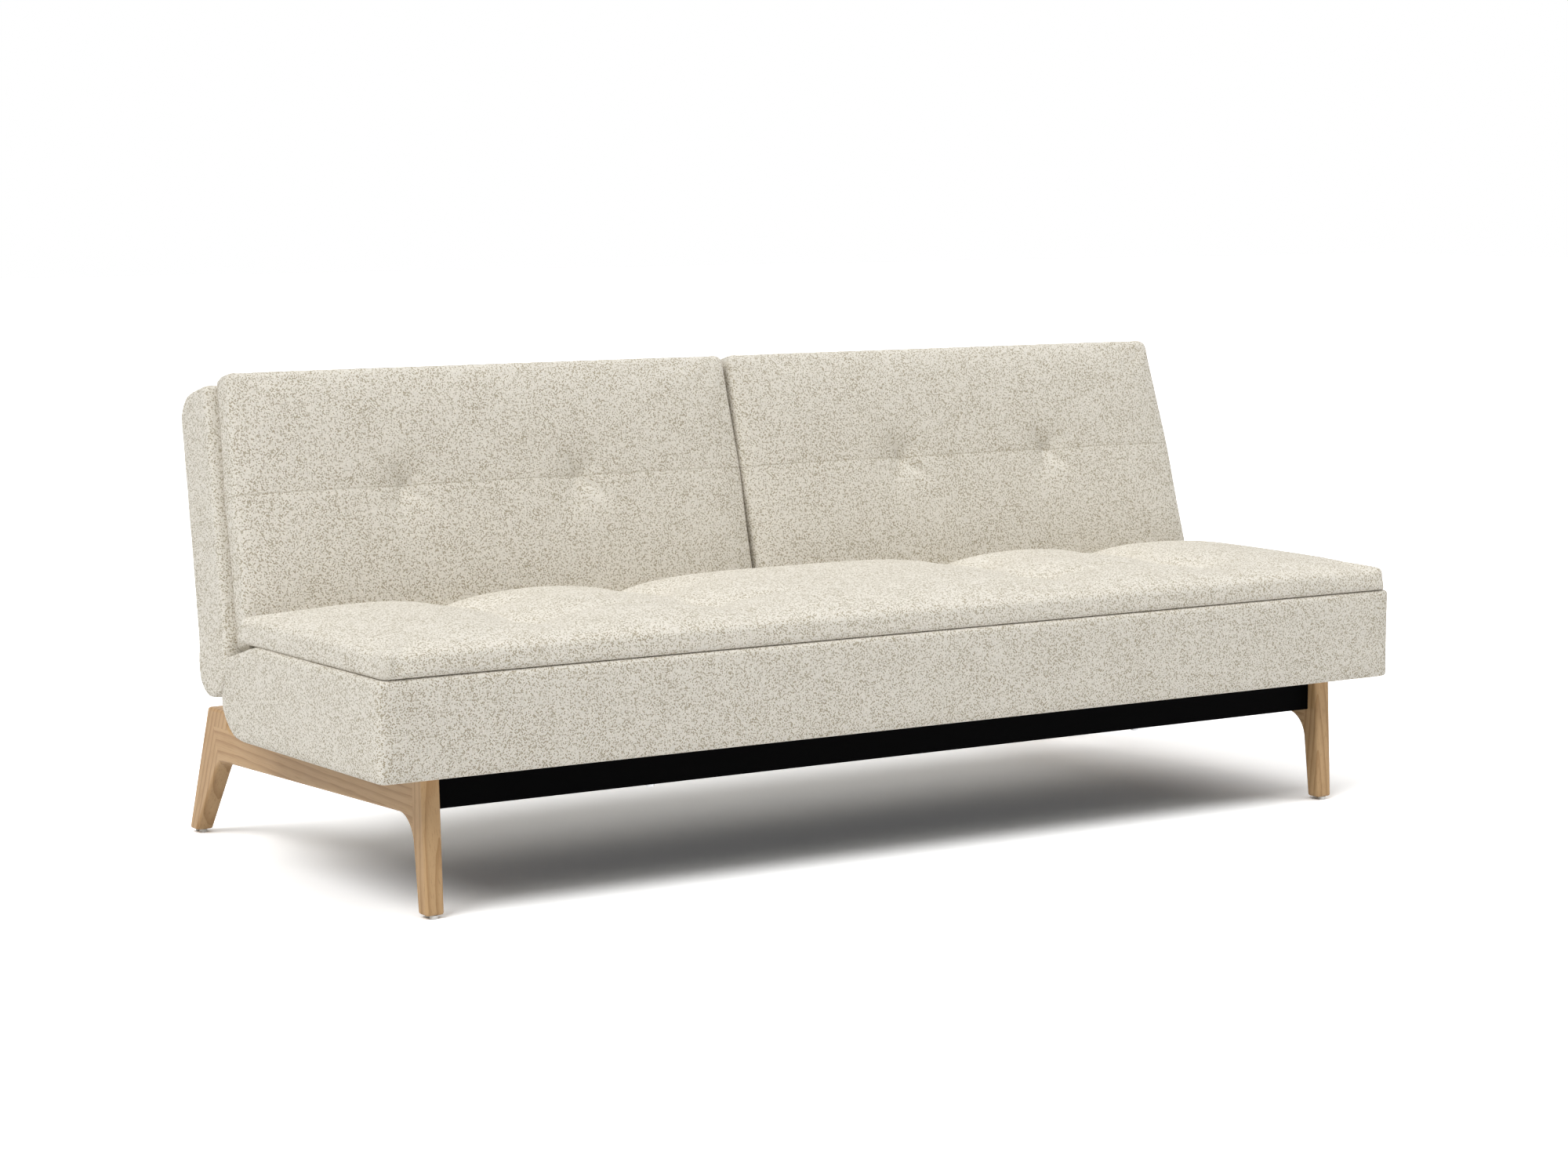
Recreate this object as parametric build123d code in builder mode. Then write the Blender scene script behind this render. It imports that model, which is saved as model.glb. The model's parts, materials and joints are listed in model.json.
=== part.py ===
"""Sofa bed: an upholstered seat on two wooden end frames, with a back split in two that folds down level.

The origin is on the floor under the middle of the sofa. +X runs to the right as seen from the front, +Y to
the rear and +Z up. Setbacks are measured rearwards from the front face of the seat.
"""

import os
from math import cos, radians, sin, tan

from build123d import *

os.makedirs("parts", exist_ok=True)

# Overall
overall_width = 2100.0
overall_depth = 939.0
front_y = -overall_depth / 2
half_width = overall_width / 2

# Wooden end frames
leg_inset = 110.0
leg_spacing = overall_width - 2 * leg_inset
leg_thickness = 33.0
leg_edge_radius = 6.0
glide_height = 6.0
glide_radius = 7.0
glide_pitch = 15.0
foot_depth = 30.0
foot_radius = 4.0
front_leg_setback = 50.0
front_foot_setback = 39.0
front_leg_root_setback = 89.0
front_shoulder_radius = 50.0
front_joint_setback = 82.0
side_rail_underside_front = 161.0
side_rail_underside_rear = 144.0
side_rail_drop_inset = 329.0
side_rail_drop_setback = overall_depth - side_rail_drop_inset
side_rail_drop_radius = 50.0
side_rail_rear_top = 204.0
side_rail_rear_inset = 227.0
side_rail_rear_setback = overall_depth - side_rail_rear_inset
rear_hook_inset = 171.0
rear_hook_setback = overall_depth - rear_hook_inset
rear_hook_top = 236.0
rear_hook_depth = 84.0
rear_hook_lean = 6.5
rear_leg_root_inset = 128.0
rear_leg_root_setback = overall_depth - rear_leg_root_inset
rear_shoulder_radius = 45.0
rear_joint_inset = 111.0
rear_joint_setback = overall_depth - rear_joint_inset
rear_joint_lean = 20.0
hook_radius = 18.0
corner_radius = 6.5
tenon_length = 28.0
tenon_height = 36.0
tenon_thickness = 12.0
front_tenon_shoulder = 14.0
rear_tenon_shoulder = 12.0
wood_clearance = 0.2

# Steel cross rails and their bolts
seat_underside = 228.0
cross_rail_height = 58.5
cross_rail_depth = 25.0
cross_rail_wall = 2.0
front_rail_setback = 72.0
end_plate_length = 62.0
end_plate_thickness = 4.0
bolt_radius = 4.0
bolt_head_radius = 7.0
bolt_head_height = 4.5
bolt_reach = 24.0
bolt_clearance = 0.1
bolt_end_clearance = 1.0
end_bolt_inset = 18.0
end_bolt_pitch = 30.0

# Seat
seat_box_height = 167.0
seat_box_top = seat_underside + seat_box_height
seat_edge_radius = 16.0
seat_front_radius = 20.0
border = 25.0
side_border = 29.0
seat_shelf_radius = 150.0
seat_rear_setback = 583.0
seat_bottom_radius = 80.0
seat_rear_radius = 20.0
seat_pad_edge = 42.0
seat_pad_crown = 74.0
seat_pad_depth = 527.0
seat_pad_draw_in = 4.0
seat_pad_lip = 15.0
seat_tuft_depth = 13.0
seat_tuft_rows = (180.0, 365.0)
tuft_inner = 353.0
tuft_outer = 700.0
tuft_reach = 70.0
pad_roll = 14.0
least_swell = 1.0
seat_line_draw = 0.3
frame_tube = 30.0
frame_wall = 2.0
frame_rear_setback = 500.0
center_tube_inner = 9.0
slat_count = 12
slat_width = 53.0
slat_thickness = 8.0
slat_bow = 10.0
holder_length = 34.0
holder_wall = 4.0
dust_cover_thickness = 2.0
slat_clearance = 0.3
holder_height = 20.0

# Hinge axis and back
hinge_setback = 622.0
hinge_drop = 50.0
recline = 15.0
back_gap = 8.0
back_thickness = 112.0
back_length = 464.0
back_side_inset = 3.0
back_side_taper = 0.08
back_wall = 14.0
back_top_rear_radius = 28.0
back_top_front_radius = 16.0
back_edge_radius = 12.0
turning_gap = 4.0
back_pad_edge = 44.0
back_pad_crown = 61.0
back_pad_bottom = 8.0
back_pad_overhang = 18.0
back_pad_top = back_length + back_pad_overhang
back_pad_inset = 15.0
back_seam_height = 270.0
back_seam_depth = 15.0
back_tuft_depth = 13.0
back_line_draw = 0.2
back_tube = 25.0
back_tube_wall = 1.5
back_frame_bottom = 45.0
back_frame_gap = 10.0
back_frame_top = back_length - back_wall - back_frame_gap
webbing_count = 5
webbing_width = 50.0
webbing_thickness = 2.0

# Ratchet hinges
plate_thickness = 6.0
plate_gap = 0.4
pivot_radius = 6.0
pivot_clearance = 0.05
pivot_head_radius = 11.0
pivot_head_height = 6.0
sector_radius = 28.0
arm_eye_radius = 20.0
arm_length = 150.0
plate_neck_height = 30.0
plate_neck_drop = 22.5
plate_riser_setback = 488.0
plate_riser_depth = 40.0
plate_foot_setback = 405.0
plate_foot_height = 46.0
slit_clearance = 2.0
pawl_pivot_back = -20.0
pawl_pivot_up = 42.0
pawl_pin_radius = 3.0
pawl_hub_radius = 8.0
pawl_nose_width = 6.0
pawl_lift = 0.8
notch_depth = 5.5
notch_width = 13.0
notch_lead = 6.9
lounge_turn = 35.0
hinge_bolt_pitch = 30.0

# Places worked out from the sizes above
axis_y = front_y + hinge_setback
axis_z = seat_box_top - hinge_drop
tilt = radians(recline)
bed_turn = 90.0 - recline
half_back = back_thickness / 2
turning_radius = half_back + turning_gap
leg_inner = (leg_spacing - leg_thickness) / 2
leg_outer = (leg_spacing + leg_thickness) / 2
frame_top = seat_underside + frame_tube
frame_half = half_width - side_border
frame_front_setback = front_rail_setback + (cross_rail_depth - frame_tube) / 2
rear_rail_setback = frame_rear_setback - (frame_tube + cross_rail_depth) / 2
center_tube_outer = center_tube_inner + frame_tube
outer_plate_face = frame_half - frame_tube
back_inner = back_gap / 2
back_outer = half_width - back_side_inset

back_side = Plane(origin=(0, axis_y, axis_z), x_dir=(0, cos(tilt), -sin(tilt)), z_dir=(1, 0, 0))
back_face = Plane(origin=(0, axis_y, axis_z), x_dir=(1, 0, 0), z_dir=(0, -cos(tilt), sin(tilt)))
sides = (("left", -1), ("right", 1))


def depth(setback):
    """Y of a setback from the seat's front face."""
    return front_y + setback


def across(sign, near, far):
    """Start and length along X of a piece that reaches from near to far on one side of the sofa."""
    return (near if sign > 0 else -far), far - near


def back_level(height):
    """Plane square to the back, this far up it from the hinge axis: X across, Y to the rear of the back."""
    rise = (0, height * sin(tilt), height * cos(tilt))
    origin = (rise[0], axis_y + rise[1], axis_z + rise[2])
    return Plane(origin=origin, x_dir=(1, 0, 0), z_dir=(0, sin(tilt), cos(tilt)))


def around_axis(angle, radius):
    """Point in the YZ plane about the hinge axis, with the angle from +Y towards +Z."""
    return (axis_y + radius * cos(radians(angle)), axis_z + radius * sin(radians(angle)))


def finish(builder, name):
    """Label a piece and write it."""
    builder.part.label = name
    export_step(builder.part, f"parts/{name}.step")


# Wooden end frames: one soft-edged outline, cut into a front leg, a side rail and a hooked, splayed rear leg
front_tenon_base = side_rail_underside_front + front_tenon_shoulder
rear_tenon_base = side_rail_underside_rear + rear_tenon_shoulder
joint_slope = tan(radians(rear_joint_lean))
rear_tenon_drop = side_rail_rear_top - rear_tenon_base - tenon_height / 2
rear_tenon_setback = rear_joint_setback - joint_slope * rear_tenon_drop
front_plate_middle = front_rail_setback + end_plate_length - end_bolt_inset
rear_plate_middle = rear_rail_setback + end_plate_length - end_bolt_inset
rail_bolt_low = seat_underside - cross_rail_height / 2 - end_bolt_pitch / 2
end_bolt_heights = (rail_bolt_low, rail_bolt_low + end_bolt_pitch)
end_bolt_places = [(depth(y), z) for y in (front_plate_middle, rear_plate_middle) for z in end_bolt_heights]

front_leg_top = (depth(front_leg_setback), seat_underside)
front_root = (depth(front_leg_root_setback), side_rail_underside_front)
rear_root = (depth(rear_leg_root_setback), side_rail_underside_rear)
hook_rear_top = (depth(rear_hook_setback + rear_hook_depth), rear_hook_top)
hook_front_top = (depth(rear_hook_setback + rear_hook_lean), rear_hook_top)
hook_root = (depth(rear_hook_setback), side_rail_rear_top)
rail_rear_top = (depth(side_rail_rear_setback), side_rail_rear_top)
rail_drop = (depth(side_rail_drop_setback), seat_underside)
rounded_corners = (
    (front_leg_top, corner_radius),
    (front_root, front_shoulder_radius),
    (rear_root, rear_shoulder_radius),
    (hook_rear_top, corner_radius),
    (hook_front_top, corner_radius),
    (hook_root, hook_radius),
    (rail_rear_top, side_rail_drop_radius),
    (rail_drop, side_rail_drop_radius),
)


def rail_zone(front_setback):
    """Outline that holds the side rail from this setback to its lap under the rear leg's hook."""
    hook_face = depth(rear_hook_setback - hook_radius)
    lap_end = depth(rear_joint_setback)
    return (
        (depth(front_setback), 0),
        (lap_end - joint_slope * side_rail_rear_top, 0),
        (lap_end, side_rail_rear_top),
        (hook_face, side_rail_rear_top),
        (hook_face, rear_hook_top),
        (depth(front_setback), rear_hook_top),
    )


for side, sign in sides:
    start, length = across(sign, leg_inner, leg_outer)
    tenon_start, tenon_span = across(
        sign, (leg_spacing - tenon_thickness) / 2, (leg_spacing + tenon_thickness) / 2
    )
    mortise_start = tenon_start - wood_clearance
    mortise_span = tenon_span + 2 * wood_clearance
    front_tenon = (depth(front_joint_setback), front_tenon_base + tenon_height / 2)
    rear_tenon = (depth(rear_tenon_setback), rear_tenon_base + tenon_height / 2)

    with BuildPart() as end_frame:
        with BuildSketch(Plane.YZ.offset(start)) as profile:
            with BuildLine():
                Polyline(
                    (depth(front_foot_setback), glide_height),
                    (depth(front_foot_setback + foot_depth), glide_height),
                    front_root,
                    rear_root,
                    (depth(overall_depth - foot_depth), glide_height),
                    (depth(overall_depth), glide_height),
                    hook_rear_top,
                    hook_front_top,
                    hook_root,
                    rail_rear_top,
                    rail_drop,
                    front_leg_top,
                    close=True,
                )
            make_face()
            for corner, radius in rounded_corners:
                fillet(profile.vertices().sort_by_distance(corner)[0], radius)
        extrude(amount=length)
        cheeks = end_frame.faces().sort_by(Axis.X)
        outline = cheeks[0].edges() + cheeks[-1].edges()
        fillet(outline.filter_by(lambda edge: edge.center().Z > glide_height + foot_radius), leg_edge_radius)
        fillet(end_frame.faces().group_by(Axis.Z)[0].edges(), foot_radius)

    with BuildPart() as front_leg:
        add(end_frame.part)
        split(bisect_by=Plane((0, depth(front_joint_setback), 0), z_dir=(0, 1, 0)), keep=Keep.BOTTOM)
        with BuildSketch(Plane.YZ.offset(mortise_start)):
            with Locations(front_tenon):
                Rectangle(2 * (tenon_length + wood_clearance), tenon_height + 2 * wood_clearance)
        extrude(amount=mortise_span, mode=Mode.SUBTRACT)
    finish(front_leg, f"{side}_front_leg")

    with BuildPart() as rear_leg:
        add(end_frame.part)
        with BuildSketch(Plane.YZ.offset(start)):
            with BuildLine():
                Polyline(*rail_zone(0), close=True)
            make_face()
        extrude(amount=length, mode=Mode.SUBTRACT)
        with BuildSketch(Plane.YZ.offset(mortise_start)):
            with Locations(rear_tenon):
                Rectangle(2 * (tenon_length + wood_clearance), tenon_height + 2 * wood_clearance)
        extrude(amount=mortise_span, mode=Mode.SUBTRACT)
    finish(rear_leg, f"{side}_rear_leg")

    with BuildPart() as side_rail:
        add(end_frame.part)
        with BuildSketch(Plane.YZ.offset(start)):
            with BuildLine():
                Polyline(*rail_zone(front_joint_setback), close=True)
            make_face()
        extrude(amount=length, mode=Mode.INTERSECT)
        with BuildSketch(Plane.YZ.offset(tenon_start)):
            with Locations(front_tenon, rear_tenon):
                Rectangle(2 * tenon_length, tenon_height)
        extrude(amount=tenon_span)
        with BuildSketch(Plane.YZ.offset(sign * leg_inner)):
            with Locations(*end_bolt_places):
                Circle(bolt_radius + bolt_clearance)
        extrude(amount=sign * (bolt_reach + bolt_end_clearance), mode=Mode.SUBTRACT)
    finish(side_rail, f"{side}_side_rail")

# Glides: two under each foot, in line with the frame
foot_middles = (
    depth(front_foot_setback + foot_depth / 2),
    depth(overall_depth - foot_depth / 2),
)
with BuildPart() as foot_glides:
    with BuildSketch(Plane.XY):
        for y in foot_middles:
            for x in (-leg_spacing / 2, leg_spacing / 2):
                with Locations((x, y - glide_pitch / 2), (x, y + glide_pitch / 2)):
                    Circle(glide_radius)
    extrude(amount=glide_height)
    fillet(foot_glides.edges().group_by(Axis.Z)[0], glide_height / 4)
finish(foot_glides, "foot_glides")

# Cross rails: box tube between the end frames, with a bolted plate welded on each end
bay_middle = (center_tube_outer + outer_plate_face) / 2
seat_bolt_x = (-bay_middle, bay_middle)
for name, setback in (("front_cross_rail", front_rail_setback), ("rear_cross_rail", rear_rail_setback)):
    rail_middle = seat_underside - cross_rail_height / 2
    plate_middle = depth(setback) + end_plate_length / 2
    with BuildPart() as cross_rail:
        with BuildSketch(Plane.YZ.offset(-leg_inner)):
            with Locations((depth(setback) + cross_rail_depth / 2, rail_middle)):
                Rectangle(cross_rail_depth, cross_rail_height)
        extrude(amount=2 * leg_inner)
        for start in (-leg_inner, leg_inner - end_plate_thickness):
            with BuildSketch(Plane.YZ.offset(start)):
                with Locations((plate_middle, rail_middle)):
                    Rectangle(end_plate_length, cross_rail_height)
            extrude(amount=end_plate_thickness)
        with BuildSketch(Plane.YZ.offset(-leg_inner)):
            with Locations((depth(setback) + cross_rail_depth / 2, rail_middle)):
                Rectangle(cross_rail_depth - 2 * cross_rail_wall, cross_rail_height - 2 * cross_rail_wall)
            bolt_setback = setback + end_plate_length - end_bolt_inset
            with Locations(*[(depth(bolt_setback), z) for z in end_bolt_heights]):
                Circle(bolt_radius + bolt_clearance)
        extrude(amount=2 * leg_inner, mode=Mode.SUBTRACT)
        with BuildSketch(Plane.XY.offset(seat_underside)):
            with Locations(*[(x, depth(setback) + cross_rail_depth / 2) for x in seat_bolt_x]):
                Circle(bolt_radius + bolt_clearance)
        extrude(amount=-cross_rail_height, mode=Mode.SUBTRACT)
    finish(cross_rail, name)

with BuildPart() as rail_bolts:
    for sign in (-1, 1):
        head_face = Plane.YZ.offset(sign * (leg_inner - end_plate_thickness))
        with BuildSketch(head_face):
            with Locations(*end_bolt_places):
                Circle(bolt_head_radius)
        extrude(amount=-sign * bolt_head_height)
        with BuildSketch(head_face):
            with Locations(*end_bolt_places):
                Circle(bolt_radius)
        extrude(amount=sign * (bolt_reach + end_plate_thickness))
finish(rail_bolts, "rail_bolts")

# Seat frame: welded tube, with two middle tubes that carry the inner hinges
frame_front = depth(frame_front_setback)
frame_rear = depth(frame_rear_setback)
frame_middle = (frame_front + frame_rear) / 2
front_tube_middle = frame_front + frame_tube / 2
rear_tube_middle = frame_rear - frame_tube / 2
seat_tubes = (
    (-frame_half, -outer_plate_face),
    (-center_tube_outer, -center_tube_inner),
    (center_tube_inner, center_tube_outer),
    (outer_plate_face, frame_half),
)
seat_bolt_places = [(x, y) for x in seat_bolt_x for y in (front_tube_middle, rear_tube_middle)]
plate_bolt_height = seat_underside + frame_tube / 2
plate_bolt_places = [
    (depth(plate_foot_setback) + hinge_bolt_pitch / 2, plate_bolt_height),
    (depth(plate_foot_setback) + hinge_bolt_pitch * 3 / 2, plate_bolt_height),
]
with BuildPart() as seat_frame:
    for inset, mode in ((0.0, Mode.ADD), (frame_wall, Mode.SUBTRACT)):
        with BuildSketch(Plane.XY.offset(seat_underside + inset)):
            for y in (front_tube_middle, rear_tube_middle):
                with Locations((0, y)):
                    Rectangle(2 * frame_half, frame_tube - 2 * inset)
            for near, far in seat_tubes:
                with Locations(((near + far) / 2, frame_middle)):
                    Rectangle(far - near - 2 * inset, frame_rear - frame_front - 2 * inset)
        extrude(amount=frame_tube - 2 * inset, mode=mode)
    with BuildSketch(Plane.XY.offset(seat_underside)):
        with Locations(*seat_bolt_places):
            Circle(bolt_radius + bolt_clearance)
    extrude(amount=frame_tube, mode=Mode.SUBTRACT)
    with BuildSketch(Plane.YZ.offset(-frame_half + frame_wall)):
        with Locations(*plate_bolt_places):
            Circle(bolt_radius + bolt_clearance)
    extrude(amount=2 * (frame_half - frame_wall), mode=Mode.SUBTRACT)
finish(seat_frame, "seat_frame")

# Seat bolts: head under the cross rail, nut on top of the seat frame
with BuildPart() as seat_bolts:
    rail_underside = seat_underside - cross_rail_height
    for level, height, radius in (
        (rail_underside - bolt_head_height, bolt_head_height, bolt_head_radius),
        (rail_underside, cross_rail_height + frame_tube, bolt_radius),
        (frame_top, bolt_head_height, bolt_head_radius),
    ):
        with BuildSketch(Plane.XY.offset(level)):
            with Locations(*seat_bolt_places):
                Circle(radius)
        extrude(amount=height)
finish(seat_bolts, "seat_bolts")

# Bowed slats from the front tube to the rear tube, in holders that stand on the tubes
bay_width = outer_plate_face - center_tube_outer
slat_pitch = bay_width / (slat_count // 2)
slat_middles = [
    sign * (center_tube_outer + slat_pitch * (index + 0.5))
    for sign in (-1, 1)
    for index in range(slat_count // 2)
]
slat_front = frame_front + holder_wall + slat_clearance
slat_rear = frame_rear - holder_wall - slat_clearance
slat_level = frame_top + holder_wall
slat_crest = slat_level + slat_thickness + slat_bow
with BuildPart() as seat_slats:
    for middle in slat_middles:
        with BuildSketch(Plane.YZ.offset(middle - slat_width / 2)):
            with BuildLine():
                lower = ThreePointArc(
                    (slat_front, slat_level), (frame_middle, slat_level + slat_bow), (slat_rear, slat_level)
                )
                upper = ThreePointArc(
                    (slat_front, slat_level + slat_thickness),
                    (frame_middle, slat_crest),
                    (slat_rear, slat_level + slat_thickness),
                )
                Line(lower @ 0, upper @ 0)
                Line(lower @ 1, upper @ 1)
            make_face()
        extrude(amount=slat_width)
finish(seat_slats, "seat_slats")

with BuildPart() as slat_holders:
    holder_places = [
        (x, y)
        for x in slat_middles
        for y in (frame_front + holder_length / 2, frame_rear - holder_length / 2)
    ]
    with BuildSketch(Plane.XY.offset(frame_top)):
        with Locations(*holder_places):
            Rectangle(slat_width + 2 * holder_wall, holder_length)
    extrude(amount=holder_height)
    with BuildSketch(Plane.XY.offset(slat_level)):
        for x in slat_middles:
            with Locations((x, frame_middle)):
                Rectangle(slat_width + 2 * slat_clearance, slat_rear - slat_front + 2 * slat_clearance)
    extrude(amount=holder_height - 2 * holder_wall, mode=Mode.SUBTRACT)
finish(slat_holders, "slat_holders")

with BuildPart() as dust_cover:
    cover_length = frame_rear - frame_front - 2 * frame_tube
    with BuildSketch(Plane.XY.offset(seat_underside)):
        with Locations(*[(x, frame_middle) for x in seat_bolt_x]):
            Rectangle(bay_width, cover_length)
    extrude(amount=dust_cover_thickness)
finish(dust_cover, "dust_cover")

# Seat foam, as far back as the deck is level: behind that a shelf slopes down under the back pads
cavity_top = seat_box_top - border
shelf_drop = back_pad_bottom - turning_gap
shelf_corner = axis_y - (seat_box_top - axis_z - shelf_drop / cos(tilt)) / tan(tilt)
with BuildPart() as seat_foam:
    foam_level = slat_crest + slat_clearance
    with BuildSketch(Plane.XY.offset(foam_level)):
        with Locations((0, (frame_front + shelf_corner) / 2)):
            Rectangle(2 * frame_half, shelf_corner - frame_front)
    extrude(amount=cavity_top - foam_level)
finish(seat_foam, "seat_foam")

# Seat box: upholstered border and deck, open below for the frame, with a scooped rear that the backs turn in
shelf_rear_height = seat_box_top - (depth(seat_rear_setback) - shelf_corner) * tan(tilt)
cavity_rear = axis_y - turning_radius - border
neck_base = axis_z - plate_neck_drop
neck_top = neck_base + plate_neck_height
plates = []
for side, sign in sides:
    plates.append((f"{side}_outer", sign, outer_plate_face, -1))
    plates.append((f"{side}_inner", sign, center_tube_outer, 1))

with BuildPart() as seat_box:
    rear_face = depth(seat_rear_setback)
    with BuildSketch(Plane.YZ.offset(-half_width)) as profile:
        with BuildLine():
            Polyline(
                (rear_face, seat_underside),
                (front_y, seat_underside),
                (front_y, seat_box_top),
                (shelf_corner, seat_box_top),
                (rear_face, shelf_rear_height),
                close=True,
            )
        make_face()
        fillet(profile.vertices().group_by(Axis.X)[0], seat_front_radius)
        for corner, radius in (
            ((shelf_corner, seat_box_top), seat_shelf_radius),
            ((rear_face, seat_underside), seat_bottom_radius),
            ((rear_face, shelf_rear_height), seat_rear_radius),
        ):
            fillet(profile.vertices().sort_by_distance(corner)[0], radius)
    extrude(amount=overall_width)
    ends = seat_box.faces().sort_by(Axis.X)
    fillet(ends[0].edges() + ends[-1].edges(), seat_edge_radius)
    with BuildSketch(Plane.YZ.offset(-half_width)):
        with Locations((axis_y, axis_z)):
            Circle(turning_radius)
    extrude(amount=overall_width, mode=Mode.SUBTRACT)
    with BuildSketch(Plane.YZ):
        with BuildLine():
            Polyline(
                (frame_front, seat_underside),
                (frame_front, cavity_top),
                (shelf_corner, cavity_top),
                (cavity_rear, axis_z + border / 3),
                (cavity_rear, frame_top + border),
                (frame_rear + frame_tube, frame_top),
                (frame_rear, seat_underside + frame_tube / 2),
                (frame_rear, seat_underside),
                close=True,
            )
        make_face()
    extrude(amount=frame_half, both=True, mode=Mode.SUBTRACT)
    for name, sign, face, facing in plates:
        near, far = sorted((face, face + facing * plate_thickness))
        start, length = across(sign, near - slit_clearance, far + slit_clearance)
        with BuildSketch(Plane.YZ.offset(start)):
            with Locations(((depth(plate_riser_setback) + axis_y) / 2, (neck_base + neck_top) / 2)):
                Rectangle(axis_y - depth(plate_riser_setback), plate_neck_height + 2 * slit_clearance)
        extrude(amount=length, mode=Mode.SUBTRACT)
finish(seat_box, "seat_box")

# Seat pad: crowned, drawn in along its sides, with two rows of sewn tufts
tuft_lines = (-tuft_outer, -tuft_inner, tuft_inner, tuft_outer)


def fullness(place, span):
    """How far a pad has swollen from edge to crown, 0 at either end of the span and 1 in the middle."""
    return 1.0 - abs(2.0 * place / span - 1.0) ** 4


def pulled(place, lines, reach):
    """How strongly a tuft row draws a pad in, 1 on the row and 0 a reach away from it."""
    nearest = min(abs(place - line) for line in lines)
    return max(0.0, 1.0 - nearest / reach) ** 2


seat_pad_stations = (
    0.0,
    pad_roll / 2,
    2 * pad_roll,
    seat_tuft_rows[0] - tuft_reach,
    seat_tuft_rows[0],
    sum(seat_tuft_rows) / 2,
    seat_tuft_rows[1],
    seat_tuft_rows[1] + tuft_reach,
    seat_pad_depth - 2 * pad_roll,
    seat_pad_depth - pad_roll / 2,
    seat_pad_depth,
)
with BuildPart() as seat_pad:
    for place in seat_pad_stations:
        to_end = min(place, seat_pad_depth - place)
        roll = max(0.0, 1.0 - to_end / pad_roll) ** 2
        full = fullness(place, seat_pad_depth)
        half = half_width - seat_pad_draw_in * full - roll * pad_roll / 2
        edge = seat_pad_edge - roll * pad_roll
        crown = edge + (seat_pad_crown - seat_pad_edge) * full
        drawn = max(seat_line_draw * full, pulled(place, seat_tuft_rows, tuft_reach))
        dip = crown - edge / 4 * (1 - full) - seat_tuft_depth * drawn
        shoulder = half - seat_pad_lip
        stops = [(-shoulder, edge)] + [(x, dip) for x in tuft_lines] + [(shoulder, edge)]
        with BuildSketch(Plane(origin=(0, depth(place), seat_box_top), x_dir=(1, 0, 0), z_dir=(0, -1, 0))):
            with BuildLine():
                Line((-shoulder, 0), (shoulder, 0))
                ThreePointArc((shoulder, 0), (half, edge / 2), (shoulder, edge))
                for (x0, h0), (x1, h1) in zip(stops[:-1], stops[1:]):
                    middle = ((x0 + x1) / 2, max(crown, (h0 + h1) / 2 + least_swell))
                    ThreePointArc((x0, h0), middle, (x1, h1))
                ThreePointArc((-shoulder, edge), (-half, edge / 2), (-shoulder, 0))
            make_face()
    loft()
finish(seat_pad, "seat_pad")

# Backs: an upholstered shell round a tube frame, webbing and foam, with a sewn pad on its front
pad_span = back_pad_top - back_pad_bottom
back_pad_stations = (
    back_pad_bottom,
    back_pad_bottom + pad_roll / 2,
    back_pad_bottom + 2 * pad_roll,
    back_pad_bottom + pad_span / 4,
    back_seam_height - tuft_reach,
    back_seam_height - tuft_reach / 4,
    back_seam_height,
    back_seam_height + tuft_reach / 4,
    back_seam_height + tuft_reach,
    back_pad_top - pad_span / 8,
    back_pad_top - 2 * pad_roll,
    back_pad_top - pad_roll / 2,
    back_pad_top,
)
shell_cavity = half_back - back_wall
inner_tube = center_tube_outer + 2 * plate_thickness + plate_gap
outer_tube = outer_plate_face - 2 * plate_thickness - plate_gap
arm_bolt_heights = (arm_length - hinge_bolt_pitch * 3 / 2, arm_length - hinge_bolt_pitch / 2)


def shell_side(height):
    """X of the back shell's outer side, this far up the back."""
    return back_outer - back_side_taper * (height + half_back)


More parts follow.
